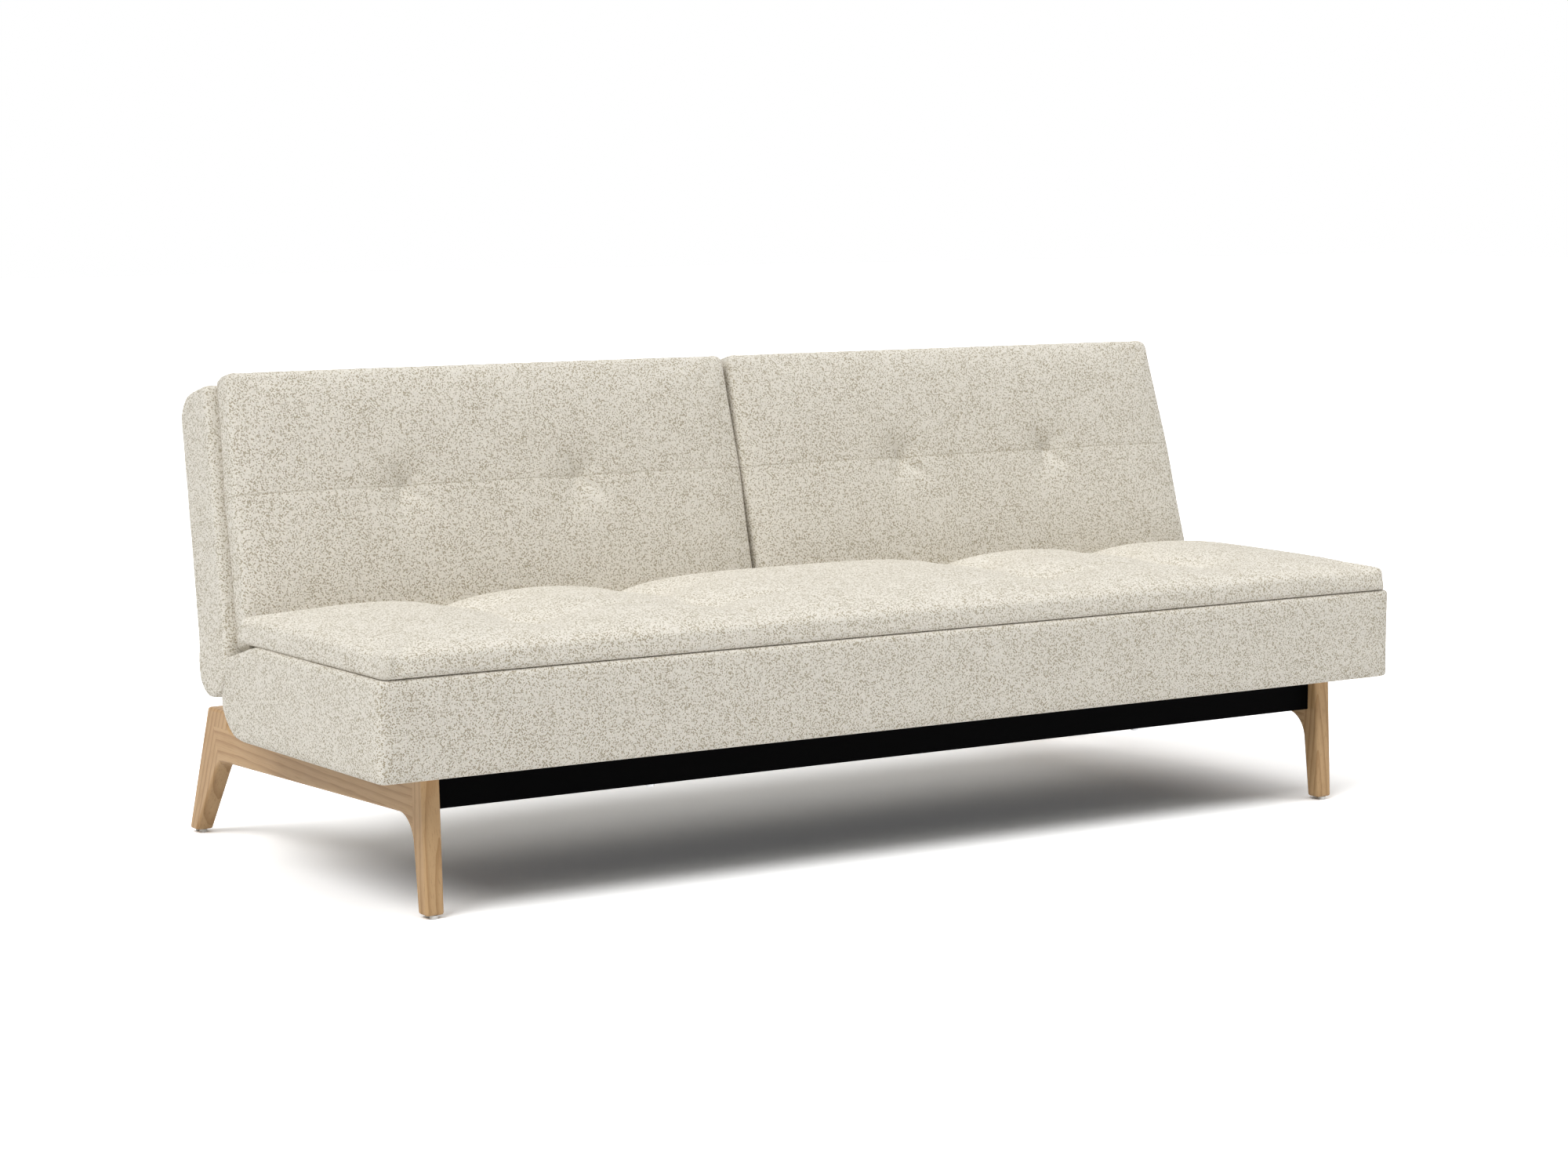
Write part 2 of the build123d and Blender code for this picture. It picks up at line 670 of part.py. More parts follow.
for side, sign in sides:
    with BuildPart() as back_shell:
        start, length = across(sign, back_inner, back_outer)
        with BuildSketch(back_side.offset(start)) as profile:
            with BuildLine():
                outline = Polyline(
                    (half_back, 0), (half_back, back_length), (-half_back, back_length), (-half_back, 0)
                )
                ThreePointArc(outline @ 1, (0, -half_back), outline @ 0)
            make_face()
            top_corners = profile.vertices().group_by(Axis.Y)[-1].sort_by(Axis.X)
            fillet(top_corners[0], back_top_front_radius)
            fillet(profile.vertices().sort_by_distance((half_back, back_length))[0], back_top_rear_radius)
        extrude(amount=length)
        with BuildSketch(back_face.offset(-2 * half_back)):
            with BuildLine():
                Polyline(
                    (sign * back_outer, -half_back),
                    (sign * shell_side(2 * back_length), 2 * back_length),
                    (sign * back_outer, 2 * back_length),
                    close=True,
                )
            make_face()
        extrude(amount=4 * half_back, mode=Mode.SUBTRACT)
        ends = back_shell.faces().sort_by(Axis.X)
        fillet(ends[0].edges() + ends[-1].edges(), back_edge_radius)
        wall_inner = back_inner + back_wall
        cavity_height = back_length - back_wall
        with BuildSketch(back_face.offset(-shell_cavity)):
            with BuildLine():
                Polyline(
                    (sign * wall_inner, 0),
                    (sign * (shell_side(0) - back_wall), 0),
                    (sign * (shell_side(cavity_height) - back_wall), cavity_height),
                    (sign * wall_inner, cavity_height),
                    close=True,
                )
            make_face()
        extrude(amount=2 * shell_cavity, mode=Mode.SUBTRACT)
        start, length = across(sign, wall_inner, shell_side(0) - back_wall)
        with BuildSketch(back_side.offset(start)):
            Circle(shell_cavity)
        extrude(amount=length, mode=Mode.SUBTRACT)
        for name, plate_sign, face, facing in plates:
            if plate_sign == sign:
                near, far = sorted((face, face + facing * plate_thickness))
                start, length = across(sign, near - slit_clearance, far + slit_clearance)
                slit_low = -half_back - turning_gap
                slit_rear = axis_z - neck_base + slit_clearance
                with BuildSketch(back_side.offset(start)):
                    with BuildLine():
                        Polyline(
                            (slit_low, slit_clearance),
                            (slit_rear, slit_clearance),
                            (slit_rear, slit_low),
                            (slit_low, slit_low),
                            close=True,
                        )
                    make_face()
                extrude(amount=length, mode=Mode.SUBTRACT)
    finish(back_shell, f"{side}_back_shell")

    with BuildPart() as back_pad:
        for place in back_pad_stations:
            to_end = min(place - back_pad_bottom, back_pad_top - place)
            roll = max(0.0, 1.0 - to_end / pad_roll) ** 2
            full = fullness(place - back_pad_bottom, pad_span)
            drawn = pulled(place, (back_seam_height,), tuft_reach)
            outer = shell_side(place) - back_pad_inset - roll * pad_roll / 2
            inner = back_inner + roll * pad_roll / 2
            edge = back_pad_edge - roll * pad_roll
            crown = edge + (back_pad_crown - back_pad_edge) * full - back_seam_depth * drawn
            dip = crown - back_tuft_depth * max(back_line_draw * full, drawn)
            lip = seat_pad_lip
            stops = [(inner + lip, edge), (tuft_inner, dip), (tuft_outer, dip), (outer - lip, edge)]
            with BuildSketch(back_level(place)):
                with BuildLine():
                    Line((sign * (inner + lip), -half_back), (sign * (outer - lip), -half_back))
                    ThreePointArc(
                        (sign * (outer - lip), -half_back),
                        (sign * outer, -half_back - edge / 2),
                        (sign * (outer - lip), -half_back - edge),
                    )
                    for (x0, h0), (x1, h1) in zip(stops[:-1], stops[1:]):
                        swell = max(crown, (h0 + h1) / 2 + least_swell)
                        ThreePointArc(
                            (sign * x0, -half_back - h0),
                            (sign * (x0 + x1) / 2, -half_back - swell),
                            (sign * x1, -half_back - h1),
                        )
                    ThreePointArc(
                        (sign * (inner + lip), -half_back - edge),
                        (sign * inner, -half_back - edge / 2),
                        (sign * (inner + lip), -half_back),
                    )
                make_face()
        loft()
    finish(back_pad, f"{side}_back_pad")

    tubes = ((inner_tube, inner_tube + back_tube), (outer_tube - back_tube, outer_tube))
    with BuildPart() as back_frame:
        for inset, mode in ((0.0, Mode.ADD), (back_tube_wall, Mode.SUBTRACT)):
            with BuildSketch(back_face.offset(-back_tube / 2 + inset)):
                frame_center = sign * (inner_tube + outer_tube) / 2
                for height in (back_frame_bottom + back_tube / 2, back_frame_top - back_tube / 2):
                    with Locations((frame_center, height)):
                        Rectangle(outer_tube - inner_tube - 2 * inset, back_tube - 2 * inset)
                for near, far in tubes:
                    with Locations((sign * (near + far) / 2, (back_frame_bottom + back_frame_top) / 2)):
                        Rectangle(back_tube - 2 * inset, back_frame_top - back_frame_bottom - 2 * inset)
            extrude(amount=back_tube - 2 * inset, mode=mode)
        start, length = across(sign, inner_tube, outer_tube)
        with BuildSketch(back_side.offset(start)):
            with Locations(*[(0, height) for height in arm_bolt_heights]):
                Circle(bolt_radius + bolt_clearance)
        extrude(amount=length, mode=Mode.SUBTRACT)
    finish(back_frame, f"{side}_back_frame")

    with BuildPart() as back_webbing:
        strap_pitch = (outer_tube - inner_tube - 2 * back_tube) / webbing_count
        strap_places = [
            (
                sign * (inner_tube + back_tube + strap_pitch * (index + 0.5)),
                (back_frame_bottom + back_frame_top) / 2,
            )
            for index in range(webbing_count)
        ]
        with BuildSketch(back_face.offset(back_tube / 2)):
            with Locations(*strap_places):
                Rectangle(webbing_width, back_frame_top - back_frame_bottom)
        extrude(amount=webbing_thickness)
    finish(back_webbing, f"{side}_back_webbing")

    with BuildPart() as back_foam:
        foam_bottom = pawl_pivot_up + pawl_hub_radius + turning_gap
        foam_top = back_length - back_wall
        with BuildSketch(back_face.offset(back_tube / 2 + webbing_thickness)):
            with BuildLine():
                Polyline(
                    (sign * (back_inner + back_wall), foam_bottom),
                    (sign * (shell_side(foam_bottom) - back_wall), foam_bottom),
                    (sign * (shell_side(foam_top) - back_wall), foam_top),
                    (sign * (back_inner + back_wall), foam_top),
                    close=True,
                )
            make_face()
        extrude(amount=shell_cavity - back_tube / 2 - webbing_thickness)
    finish(back_foam, f"{side}_back_foam")

# Ratchet hinges: a notched plate on the seat frame, an arm on the back frame, a pin, and a pawl on the arm
notch_turns = (0.0, lounge_turn, bed_turn)
plate_base = seat_underside + frame_wall
for name, sign, face, facing in plates:
    plate_near, plate_far = sorted((face, face + facing * plate_thickness))
    arm_face = face + facing * (plate_thickness + plate_gap)
    arm_near, arm_far = sorted((arm_face, arm_face + facing * plate_thickness))
    plate_start, plate_span = across(sign, plate_near, plate_far)
    arm_start, arm_span = across(sign, arm_near, arm_far)
    inward = sign * facing

    with BuildPart() as hinge_plate:
        with BuildSketch(Plane.YZ.offset(plate_start)) as profile:
            with BuildLine():
                Polyline(
                    (depth(plate_foot_setback), plate_base),
                    (frame_rear - frame_tube - plate_gap, plate_base),
                    (frame_rear - frame_tube - plate_gap, frame_top + plate_gap),
                    (frame_rear - frame_tube / 4, frame_top + plate_gap),
                    (depth(plate_riser_setback + plate_riser_depth), frame_top + frame_tube),
                    (depth(plate_riser_setback + plate_riser_depth), neck_base),
                    (axis_y, neck_base),
                    (axis_y, neck_top),
                    (depth(plate_riser_setback), neck_top),
                    (depth(plate_riser_setback), neck_base - plate_neck_height / 2),
                    (frame_rear - frame_tube, plate_base + plate_foot_height),
                    (depth(plate_foot_setback), plate_base + plate_foot_height),
                    close=True,
                )
            make_face()
            with Locations((axis_y, axis_z)):
                Circle(sector_radius)
            for turn in notch_turns:
                angle = 90.0 - recline + notch_lead - turn
                notch_middle = sector_radius - notch_depth / 2 + plate_gap
                with Locations(Location((*around_axis(angle, notch_middle), 0), (0, 0, angle))):
                    Rectangle(notch_depth + 2 * plate_gap, notch_width, mode=Mode.SUBTRACT)
            with Locations((axis_y, axis_z)):
                Circle(pivot_radius + pivot_clearance, mode=Mode.SUBTRACT)
            with Locations(*plate_bolt_places):
                Circle(bolt_radius + bolt_clearance, mode=Mode.SUBTRACT)
        extrude(amount=plate_span)
    finish(hinge_plate, f"{name}_hinge_plate")

    with BuildPart() as hinge_arm:
        with BuildSketch(back_side.offset(arm_start)):
            Circle(arm_eye_radius)
            with Locations((0, arm_length / 2)):
                Rectangle(back_tube, arm_length)
            with Locations((pawl_pivot_back, pawl_pivot_up)):
                Circle(pawl_hub_radius)
                Rectangle(2 * pawl_hub_radius, 2 * pawl_hub_radius, align=(Align.MIN, Align.CENTER))
            Circle(pivot_radius + pivot_clearance, mode=Mode.SUBTRACT)
            with Locations(*[(0, height) for height in arm_bolt_heights]):
                Circle(bolt_radius + bolt_clearance, mode=Mode.SUBTRACT)
        extrude(amount=arm_span)
        with BuildSketch(back_side.offset(sign * arm_face)):
            with Locations((pawl_pivot_back, pawl_pivot_up)):
                Circle(pawl_pin_radius)
        extrude(amount=-inward * (plate_thickness + plate_gap))
    finish(hinge_arm, f"{name}_hinge_arm")

    with BuildPart() as pawl:
        nose = sector_radius + pawl_lift
        with BuildSketch(back_side.offset(plate_start)):
            with BuildLine():
                Polyline(
                    (pawl_pivot_back, pawl_pivot_up + pawl_hub_radius),
                    (pawl_nose_width / 3, pawl_pivot_up - pawl_hub_radius / 4),
                    (pawl_nose_width / 2, nose),
                    (-pawl_nose_width / 2, nose),
                    (pawl_pivot_back / 2 + pawl_nose_width / 3, pawl_pivot_up - pawl_hub_radius * 3 / 4),
                    (pawl_pivot_back, pawl_pivot_up - pawl_hub_radius),
                    close=True,
                )
            make_face()
            with Locations((pawl_pivot_back, pawl_pivot_up)):
                Circle(pawl_hub_radius)
                Circle(pawl_pin_radius + pivot_clearance, mode=Mode.SUBTRACT)
        extrude(amount=plate_span)
    finish(pawl, f"{name}_pawl")

    with BuildPart() as hinge_pin:
        shank = 2 * plate_thickness + 2 * plate_gap
        with BuildSketch(Plane.YZ.offset(sign * face)):
            with Locations((axis_y, axis_z)):
                Circle(pivot_radius)
        extrude(amount=inward * shank)
        for head_face, direction in ((sign * face, -inward), (sign * face + inward * shank, inward)):
            with BuildSketch(Plane.YZ.offset(head_face)):
                with Locations((axis_y, axis_z)):
                    RegularPolygon(pivot_head_radius, 6)
            extrude(amount=direction * pivot_head_height)
    finish(hinge_pin, f"{name}_hinge_pin")

# Bolts that hold the plates to the seat frame, and the arms to the back frames
with BuildPart() as hinge_plate_bolts:
    for name, sign, face, facing in plates:
        head_face = Plane.YZ.offset(sign * (face + facing * plate_thickness))
        with BuildSketch(head_face):
            with Locations(*plate_bolt_places):
                Circle(bolt_head_radius)
        extrude(amount=sign * facing * bolt_head_height)
        with BuildSketch(head_face):
            with Locations(*plate_bolt_places):
                Circle(bolt_radius)
        extrude(amount=-sign * facing * bolt_reach)
finish(hinge_plate_bolts, "hinge_plate_bolts")

for side, side_sign in sides:
    with BuildPart() as hinge_arm_bolts:
        for name, sign, face, facing in plates:
            if sign == side_sign:
                head_face = back_side.offset(sign * (face + facing * (plate_thickness + plate_gap)))
                with BuildSketch(head_face):
                    with Locations(*[(0, height) for height in arm_bolt_heights]):
                        Circle(bolt_head_radius)
                extrude(amount=-sign * facing * bolt_head_height)
                with BuildSketch(head_face):
                    with Locations(*[(0, height) for height in arm_bolt_heights]):
                        Circle(bolt_radius)
                extrude(amount=sign * facing * bolt_reach)
    finish(hinge_arm_bolts, f"{side}_hinge_arm_bolts")
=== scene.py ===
"""Looks of the sofa bed.

Woven covers and tufted pads, oak end frames, steel rails and hinges, and the studio.
"""

import json
from math import cos, pi, radians, sin

import bpy
import numpy as np
from bpy.props import FloatProperty, FloatVectorProperty, PointerProperty
from bpy.types import Operator, Panel, PropertyGroup
from mathutils import Matrix, Vector


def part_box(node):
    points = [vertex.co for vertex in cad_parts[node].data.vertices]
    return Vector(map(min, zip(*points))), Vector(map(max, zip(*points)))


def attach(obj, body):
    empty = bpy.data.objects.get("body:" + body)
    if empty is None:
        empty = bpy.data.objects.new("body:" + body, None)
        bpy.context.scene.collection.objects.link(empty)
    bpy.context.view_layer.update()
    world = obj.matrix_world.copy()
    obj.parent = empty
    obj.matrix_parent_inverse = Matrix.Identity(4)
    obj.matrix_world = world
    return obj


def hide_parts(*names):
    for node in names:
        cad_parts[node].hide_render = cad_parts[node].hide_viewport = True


bl_info = {
    "name": "Sofa Bed",
    "version": (1, 0, 0),
    "blender": (4, 5, 0),
    "location": "3D View > Sidebar > Sofa Bed",
    "description": "Dresses the sofa bed's frame with upholstery, oak and steel, and sets its studio",
    "category": "Object",
}

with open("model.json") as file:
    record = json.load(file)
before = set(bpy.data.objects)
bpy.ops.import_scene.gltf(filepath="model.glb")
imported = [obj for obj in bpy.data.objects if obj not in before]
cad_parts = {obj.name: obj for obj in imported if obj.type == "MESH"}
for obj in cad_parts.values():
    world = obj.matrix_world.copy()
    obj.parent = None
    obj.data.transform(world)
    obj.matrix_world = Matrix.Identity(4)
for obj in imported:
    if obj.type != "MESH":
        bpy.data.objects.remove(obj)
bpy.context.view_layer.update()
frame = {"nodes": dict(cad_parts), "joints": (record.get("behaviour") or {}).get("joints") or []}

# Places taken from the frame
SEAT_LOW, SEAT_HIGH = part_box("seat_box")
SEAT_PAD_LOW, SEAT_PAD_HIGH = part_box("seat_pad")
TUBE_LOW, TUBE_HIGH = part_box("seat_frame")
HINGE = Vector(next(j for j in frame["joints"] if j["name"] == "right_back_recline")["pos_m"])
SIDES = (("left", -1), ("right", 1))

# The back leans this far behind upright at rest; its own frame is X across, Y to its rear and Z up along it
RECLINE = radians(15.0)
BACK_FRAME = Matrix.Translation((0.0, HINGE.y, HINGE.z)) @ Matrix.Rotation(-RECLINE, 4, "X")

# Back shells and pads in the back's own frame; the taper is how far the outer end leans in for each metre up
BACK_HALF = 0.056
BACK_LENGTH = 0.464
BACK_INNER = 0.004
BACK_OUTER = 1.047
BACK_TAPER = 0.055
BACK_PAD_LOW = 0.008
BACK_PAD_TOP = 0.482
BACK_PAD_INSET = 0.015
BACK_PAD_GAP = 0.0006

# The seat's scoop about the hinge, its shelf's front corner, its rear, its hollow and how far its pad sinks in
SCOOP_RADIUS = 0.060
SHELF_CORNER = -0.0186
SEAT_REAR = 0.1135
RECESS_HEIGHT = 0.072
SEAT_PAD_SUNK = 0.0015

# Tufts: columns out from the middle, and the seat's rows behind its front edge
TUFT_COLUMNS = (0.353, 0.700)
SEAT_COLUMNS = (-TUFT_COLUMNS[1], -TUFT_COLUMNS[0], *TUFT_COLUMNS)
TUFT_ROWS = (0.180, 0.365)

# How much larger the covers are than the solids that they replace
SEAT_END_OUT = 0.006
SEAT_FRONT_OUT = 0.003
BACK_END_OUT = 0.008
BACK_TOP_OUT = 0.010

# Edges of the covers: the width of the rounding and its segments
SEWN_EDGE = (0.005, 2)
SEAT_REAR_EDGE = (0.080, 8)
BACK_REAR_EDGE = (0.048, 8)
BACK_FRONT_EDGE = (0.009, 3)

# A point this near a plane lies on it, and a cutter runs this far past what it cuts
NEAR = 0.0005
OVERRUN = 0.1
RECESS_OVERRUN = 0.05

# What the filling leaves alone on the covers: by the scoop, the bottom and top, and a back's lower end
HELD_SCOOP = 0.012
HELD_BOTTOM = 0.004
HELD_TOP = 0.006
HELD_LOWER_END = 0.02

# The filling draws a pad's edges in by this much, so a pad starts that much larger
SEAT_DRAW = 0.005
BACK_DRAW = 0.003

# Edges of the pads: corners in plan, the reach out from the core, and the fabric's way over and under
PAD_CORNER = 0.020
SEAT_REACH = 0.009
SEAT_RIM = {"shoulder": 0.010, "tuck": 0.003, "hem": 0.012}
BACK_REACH = 0.011
BACK_RIM = {"shoulder": 0.011, "tuck": 0.004, "hem": 0.012}

# Parts of the pads that the filling leaves alone: the hem, by its share of the thickness, and round each tuft
HELD_SHARE = 0.02
SEAT_THREAD = 0.011
BACK_THREAD = 0.012

# The filling: its pressure and the steps of its simulation
FILL_PRESSURE = 4.0
FILL_STEPS = 20

# Seat pad: runs of its rise from an end, the front and the rear, and the lift of its ends
SEAT_END_RUN = 0.150
SEAT_FRONT_RUN = 0.120
SEAT_REAR_RUN = 0.060
END_LIFT = 0.004
END_LIFT_RUN = 0.08

# Valleys between the seat pad's bays, deeper at the rows, and the tufts' dimples, in shares of seat_tuft
VALLEY_FRONT_RUN = 0.100
VALLEY_SHARE = 0.55
VALLEY_ROW_SHARE = 0.45
VALLEY_ROW_SPREAD = 0.075
VALLEY_RUN = 0.055
SEAT_DIMPLE_SHARE = 0.35
SEAT_DIMPLE_RUN = 0.025

# Back pad: run of its rise from every edge, and a tuft's dimple and funnel, longer below the seam
BACK_EDGE_RUN = 0.06
BELOW_SEAM = 0.75
BACK_DIMPLE_SHARE = 0.22
BACK_DIMPLE_RUN = 0.015
FUNNEL_SHARE = 0.58
FUNNEL_SPREAD = 0.038

# Back pad's cross seam: height, stop short of the sides, groove, and the band that the filling spares
SEAM_HEIGHT = 0.270
SEAM_END = 0.030
SEAM_FADE = 0.02
SEAM_DEPTH = 0.0010
SEAM_WIDTH = 0.005
SEAM_BAND = 0.090

# Creases from each back tuft: lengths above and below it, then the way across and up, the width and the depth
CREASES_ABOVE = (0.055, 0.048)
CREASES_BELOW = (0.090, 0.080)
CREASES = (
    (-0.5, 1.0, 0.007, 0.0060),
    (0.8, 0.7, 0.010, 0.0020),
    (0.9, -0.7, 0.009, 0.0048),
    (-0.3, -0.9, 0.011, 0.0020),
)

# The lift at a back tuft where its creases meet, and the share of the edge past which a pad counts as front
TUFT_LIFT = 0.0012
TUFT_LIFT_SPREAD = 0.015
FRONT_SHARE = 0.6

# A crease starts shallower and deepens early; its lips stand beside it, counted in widths
CREASE_START = 0.3
CREASE_GROWTH = 0.4
LIP_HEIGHT = 0.35
LIP_PLACE = 2.0

# Oak pieces: node, ending of the material's name, turn of the grain in degrees, and the pith's place
OAK_PIECES = (
    ("front_leg", "front_leg", (-3.0, 3.0, 0.0), (0.92, 0.43, 0.0)),
    ("side_rail", "rail", (88.0, 0.0, 0.0), (0.90, 0.10, -0.12)),
    ("rear_leg", "rear_leg", (-24.0, 2.0, 0.0), (0.91, -0.30, 0.0)),
)

# Stage: lamps with strength, spread in degrees and direction, then the surrounds, the floor and the camera
LAMPS = (
    ("top_light", 0.26, 40.0, (0.0, 0.25, -1.0)),
    ("rear_light", 0.08, 60.0, (-0.45, -0.35, -1.0)),
    ("left_light", 0.60, 34.0, (0.75, 0.25, -1.0)),
    ("right_light", 0.20, 40.0, (-0.65, 0.40, -1.0)),
)
AMBIENT = 0.26
FLOOR_SIZE = 60.0
FLOOR_LIT = 0.88
FLOOR_SEEN = 1.45
CAMERA_LENS = 79.75
CAMERA_SENSOR = 36.0
CAMERA_PLACE = (-3.4717, -5.2041, 1.1783)
CAMERA_TURN = (83.09, 0.0, -33.77)


class SofaSizes(PropertyGroup):
    """Sizes of the soft parts and the weave."""

    cell: FloatProperty(
        name="Pad cell", description="Size of a pad's cloth cells", default=0.009, unit="LENGTH"
    )
    cover_cell: FloatProperty(
        name="Cover cell", description="Size of a cover's cloth cells", default=0.013, unit="LENGTH"
    )
    seat_edge: FloatProperty(
        name="Seat edge", description="Thickness of the seat pad at its edge", default=0.038, unit="LENGTH"
    )
    seat_crown: FloatProperty(
        name="Seat crown",
        description="Thickness of the seat pad at its fullest",
        default=0.074,
        unit="LENGTH",
    )
    seat_tuft: FloatProperty(
        name="Seat tuft", description="How far a tuft draws the seat pad in", default=0.028, unit="LENGTH"
    )
    back_edge: FloatProperty(
        name="Back edge", description="Thickness of a back pad at its edge", default=0.043, unit="LENGTH"
    )
    back_crown: FloatProperty(
        name="Back crown", description="Thickness of a back pad at its fullest", default=0.058, unit="LENGTH"
    )
    back_tuft: FloatProperty(
        name="Back tuft", description="How far a tuft draws a back pad in", default=0.018, unit="LENGTH"
    )
    seat_swell: FloatProperty(
        name="Seat swell",
        description="Most that the filling may move the seat pad's cloth",
        default=0.012,
        unit="LENGTH",
    )
    back_swell: FloatProperty(
        name="Back swell",
        description="Most that the filling may move a back pad's cloth",
        default=0.004,
        unit="LENGTH",
    )
    cover_swell: FloatProperty(
        name="Cover swell", description="Most that the filling may move a cover", default=0.004, unit="LENGTH"
    )
    yarn: FloatProperty(
        name="Yarn pitch", description="Pitch of the weave's yarns", default=0.0021, unit="LENGTH"
    )


class SofaColours(PropertyGroup):
    """Colours of the finishes."""

    fabric_pale: FloatVectorProperty(
        name="Pale yarn", description="Oatmeal yarn", default=(0.86, 0.818, 0.73), subtype="COLOR"
    )
    fabric_fleck: FloatVectorProperty(
        name="Fleck",
        description="Olive-brown flecks in the weave",
        default=(0.31, 0.26, 0.165),
        subtype="COLOR",
    )
    oak_pale: FloatVectorProperty(
        name="Pale oak", description="Early wood", default=(0.53, 0.345, 0.178), subtype="COLOR"
    )
    oak_deep: FloatVectorProperty(
        name="Deep oak", description="Late wood", default=(0.37, 0.212, 0.092), subtype="COLOR"
    )
    black_coat: FloatVectorProperty(
        name="Black coat",
        description="Powder coat on the steel",
        default=(0.0012, 0.0012, 0.0013),
        subtype="COLOR",
    )
    zinc: FloatVectorProperty(
        name="Zinc",
        description="Plating of the hinges and bolts",
        default=(0.62, 0.63, 0.65),
        subtype="COLOR",
    )


def sizes():
    """The sizes in use."""
    return bpy.context.scene.sofa_sizes


def colours():
    """The colours in use."""
    return bpy.context.scene.sofa_colours


# Objects and meshes


def only(obj):
    """Leave this object alone selected and active."""
    bpy.ops.object.select_all(action="DESELECT")
    obj.select_set(True)
    bpy.context.view_layer.objects.active = obj


def new_piece(name):
    """Name the object that an operator has just added, with its place put into its mesh."""
    obj = bpy.context.object
    obj.name = obj.data.name = name
    only(obj)
    bpy.ops.object.transform_apply(location=True, rotation=True, scale=True)
    return obj


def points(obj):
    """The vertices of a mesh, as rows of X, Y and Z."""
    found = np.empty(len(obj.data.vertices) * 3)
    obj.data.vertices.foreach_get("co", found)
    return found.reshape(-1, 3)


def set_points(obj, places):
    """Move the vertices of a mesh."""
    obj.data.vertices.foreach_set("co", np.ascontiguousarray(places, dtype=float).ravel())
    obj.data.update()


def apply_modifier(obj, kind, **settings):
    """Add a modifier with these settings and apply it."""
    only(obj)
    modifier = obj.modifiers.new(kind.lower(), kind)
    for name, value in settings.items():
        setattr(modifier, name, value)
    bpy.ops.object.modifier_apply(modifier=modifier.name)


def bevel_edges(obj, wanted, offset, segments):
    """Round the edges whose two ends both answer to wanted(point)."""
    only(obj)
    bpy.ops.object.mode_set(mode="EDIT")
    bpy.ops.mesh.select_all(action="DESELECT")
    bpy.ops.mesh.select_mode(type="EDGE")
    bpy.ops.object.mode_set(mode="OBJECT")
    for edge in obj.data.edges:
        edge.select = all(wanted(obj.data.vertices[i].co) for i in edge.vertices)
    bpy.ops.object.mode_set(mode="EDIT")
    bpy.ops.mesh.bevel(offset=offset, segments=segments, affect="EDGES", clamp_overlap=False)
    bpy.ops.object.mode_set(mode="OBJECT")


def carve(obj, cutter):
    """Cut one object out of another."""
    apply_modifier(obj, "BOOLEAN", object=cutter, operation="DIFFERENCE", solver="EXACT")
    bpy.data.objects.remove(cutter)


def block(name, low, high):
    """A cube at its size and place, as a start for a piece."""
    middle = [(a + b) / 2 for a, b in zip(low, high)]
    span = [b - a for a, b in zip(low, high)]
    bpy.ops.object.select_all(action="DESELECT")
    bpy.ops.mesh.primitive_cube_add(size=1.0, location=middle, scale=span)
    return new_piece(name)


def roller(name, radius, start, end, y, z):
    """A cylinder along X, as a start for a piece or a cutter."""
    bpy.ops.object.select_all(action="DESELECT")
    bpy.ops.mesh.primitive_cylinder_add(
        vertices=96,
        radius=radius,
        depth=end - start,
        location=((start + end) / 2, y, z),
        rotation=(0.0, pi / 2, 0.0),
    )
    return new_piece(name)


def remesh(obj, cell):
    """Even out a form into square cloth cells."""
    only(obj)
    obj.data.remesh_voxel_size = cell
    obj.data.remesh_voxel_adaptivity = 0.0
    bpy.ops.object.voxel_remesh()


def swell(obj, pinned, limit):
    """Fill a piece by a cloth simulation under pressure, holding the pinned points.

    limit is the most that a point may move: one length, or one for each point.
    """
    start = points(obj)
    group = obj.vertex_groups.new(name="held")
    group.add([int(i) for i in np.flatnonzero(pinned)], 1.0, "REPLACE")
    only(obj)
    cloth = obj.modifiers.new("filling", "CLOTH")
    cloth.settings.quality = 5
    cloth.settings.mass = 0.3
    cloth.settings.tension_stiffness = 15.0
    cloth.settings.compression_stiffness = 10.0
    cloth.settings.shear_stiffness = 5.0
    cloth.settings.bending_stiffness = 0.6
    cloth.settings.vertex_group_mass = group.name
    cloth.settings.use_pressure = True
    cloth.settings.uniform_pressure_force = FILL_PRESSURE
    cloth.settings.effector_weights.gravity = 0.0
    cloth.collision_settings.use_collision = False
    cloth.collision_settings.use_self_collision = False
    cloth.point_cache.frame_start = 1
    cloth.point_cache.frame_end = FILL_STEPS
    for step in range(1, FILL_STEPS + 1):
        bpy.context.scene.frame_set(step)
    bpy.ops.object.modifier_apply(modifier=cloth.name)
    bpy.context.scene.frame_set(1)
    obj.vertex_groups.clear()
    moved = points(obj) - start
    far = np.linalg.norm(moved, axis=1)
    kept = limit / (limit + far + 1e-9)
    set_points(obj, start + moved * kept[:, None])


def smooth_shade(obj):
    """Shade a soft piece smoothly."""
    only(obj)
    bpy.ops.object.shade_smooth()


def box_unwrap(obj):
    """Lay the weave on a cover from its six sides, in metres."""
    only(obj)
    bpy.ops.object.mode_set(mode="EDIT")
    bpy.ops.mesh.select_all(action="SELECT")
    bpy.ops.uv.cube_project(cube_size=1.0, correct_aspect=False, scale_to_bounds=False)
    bpy.ops.object.mode_set(mode="OBJECT")


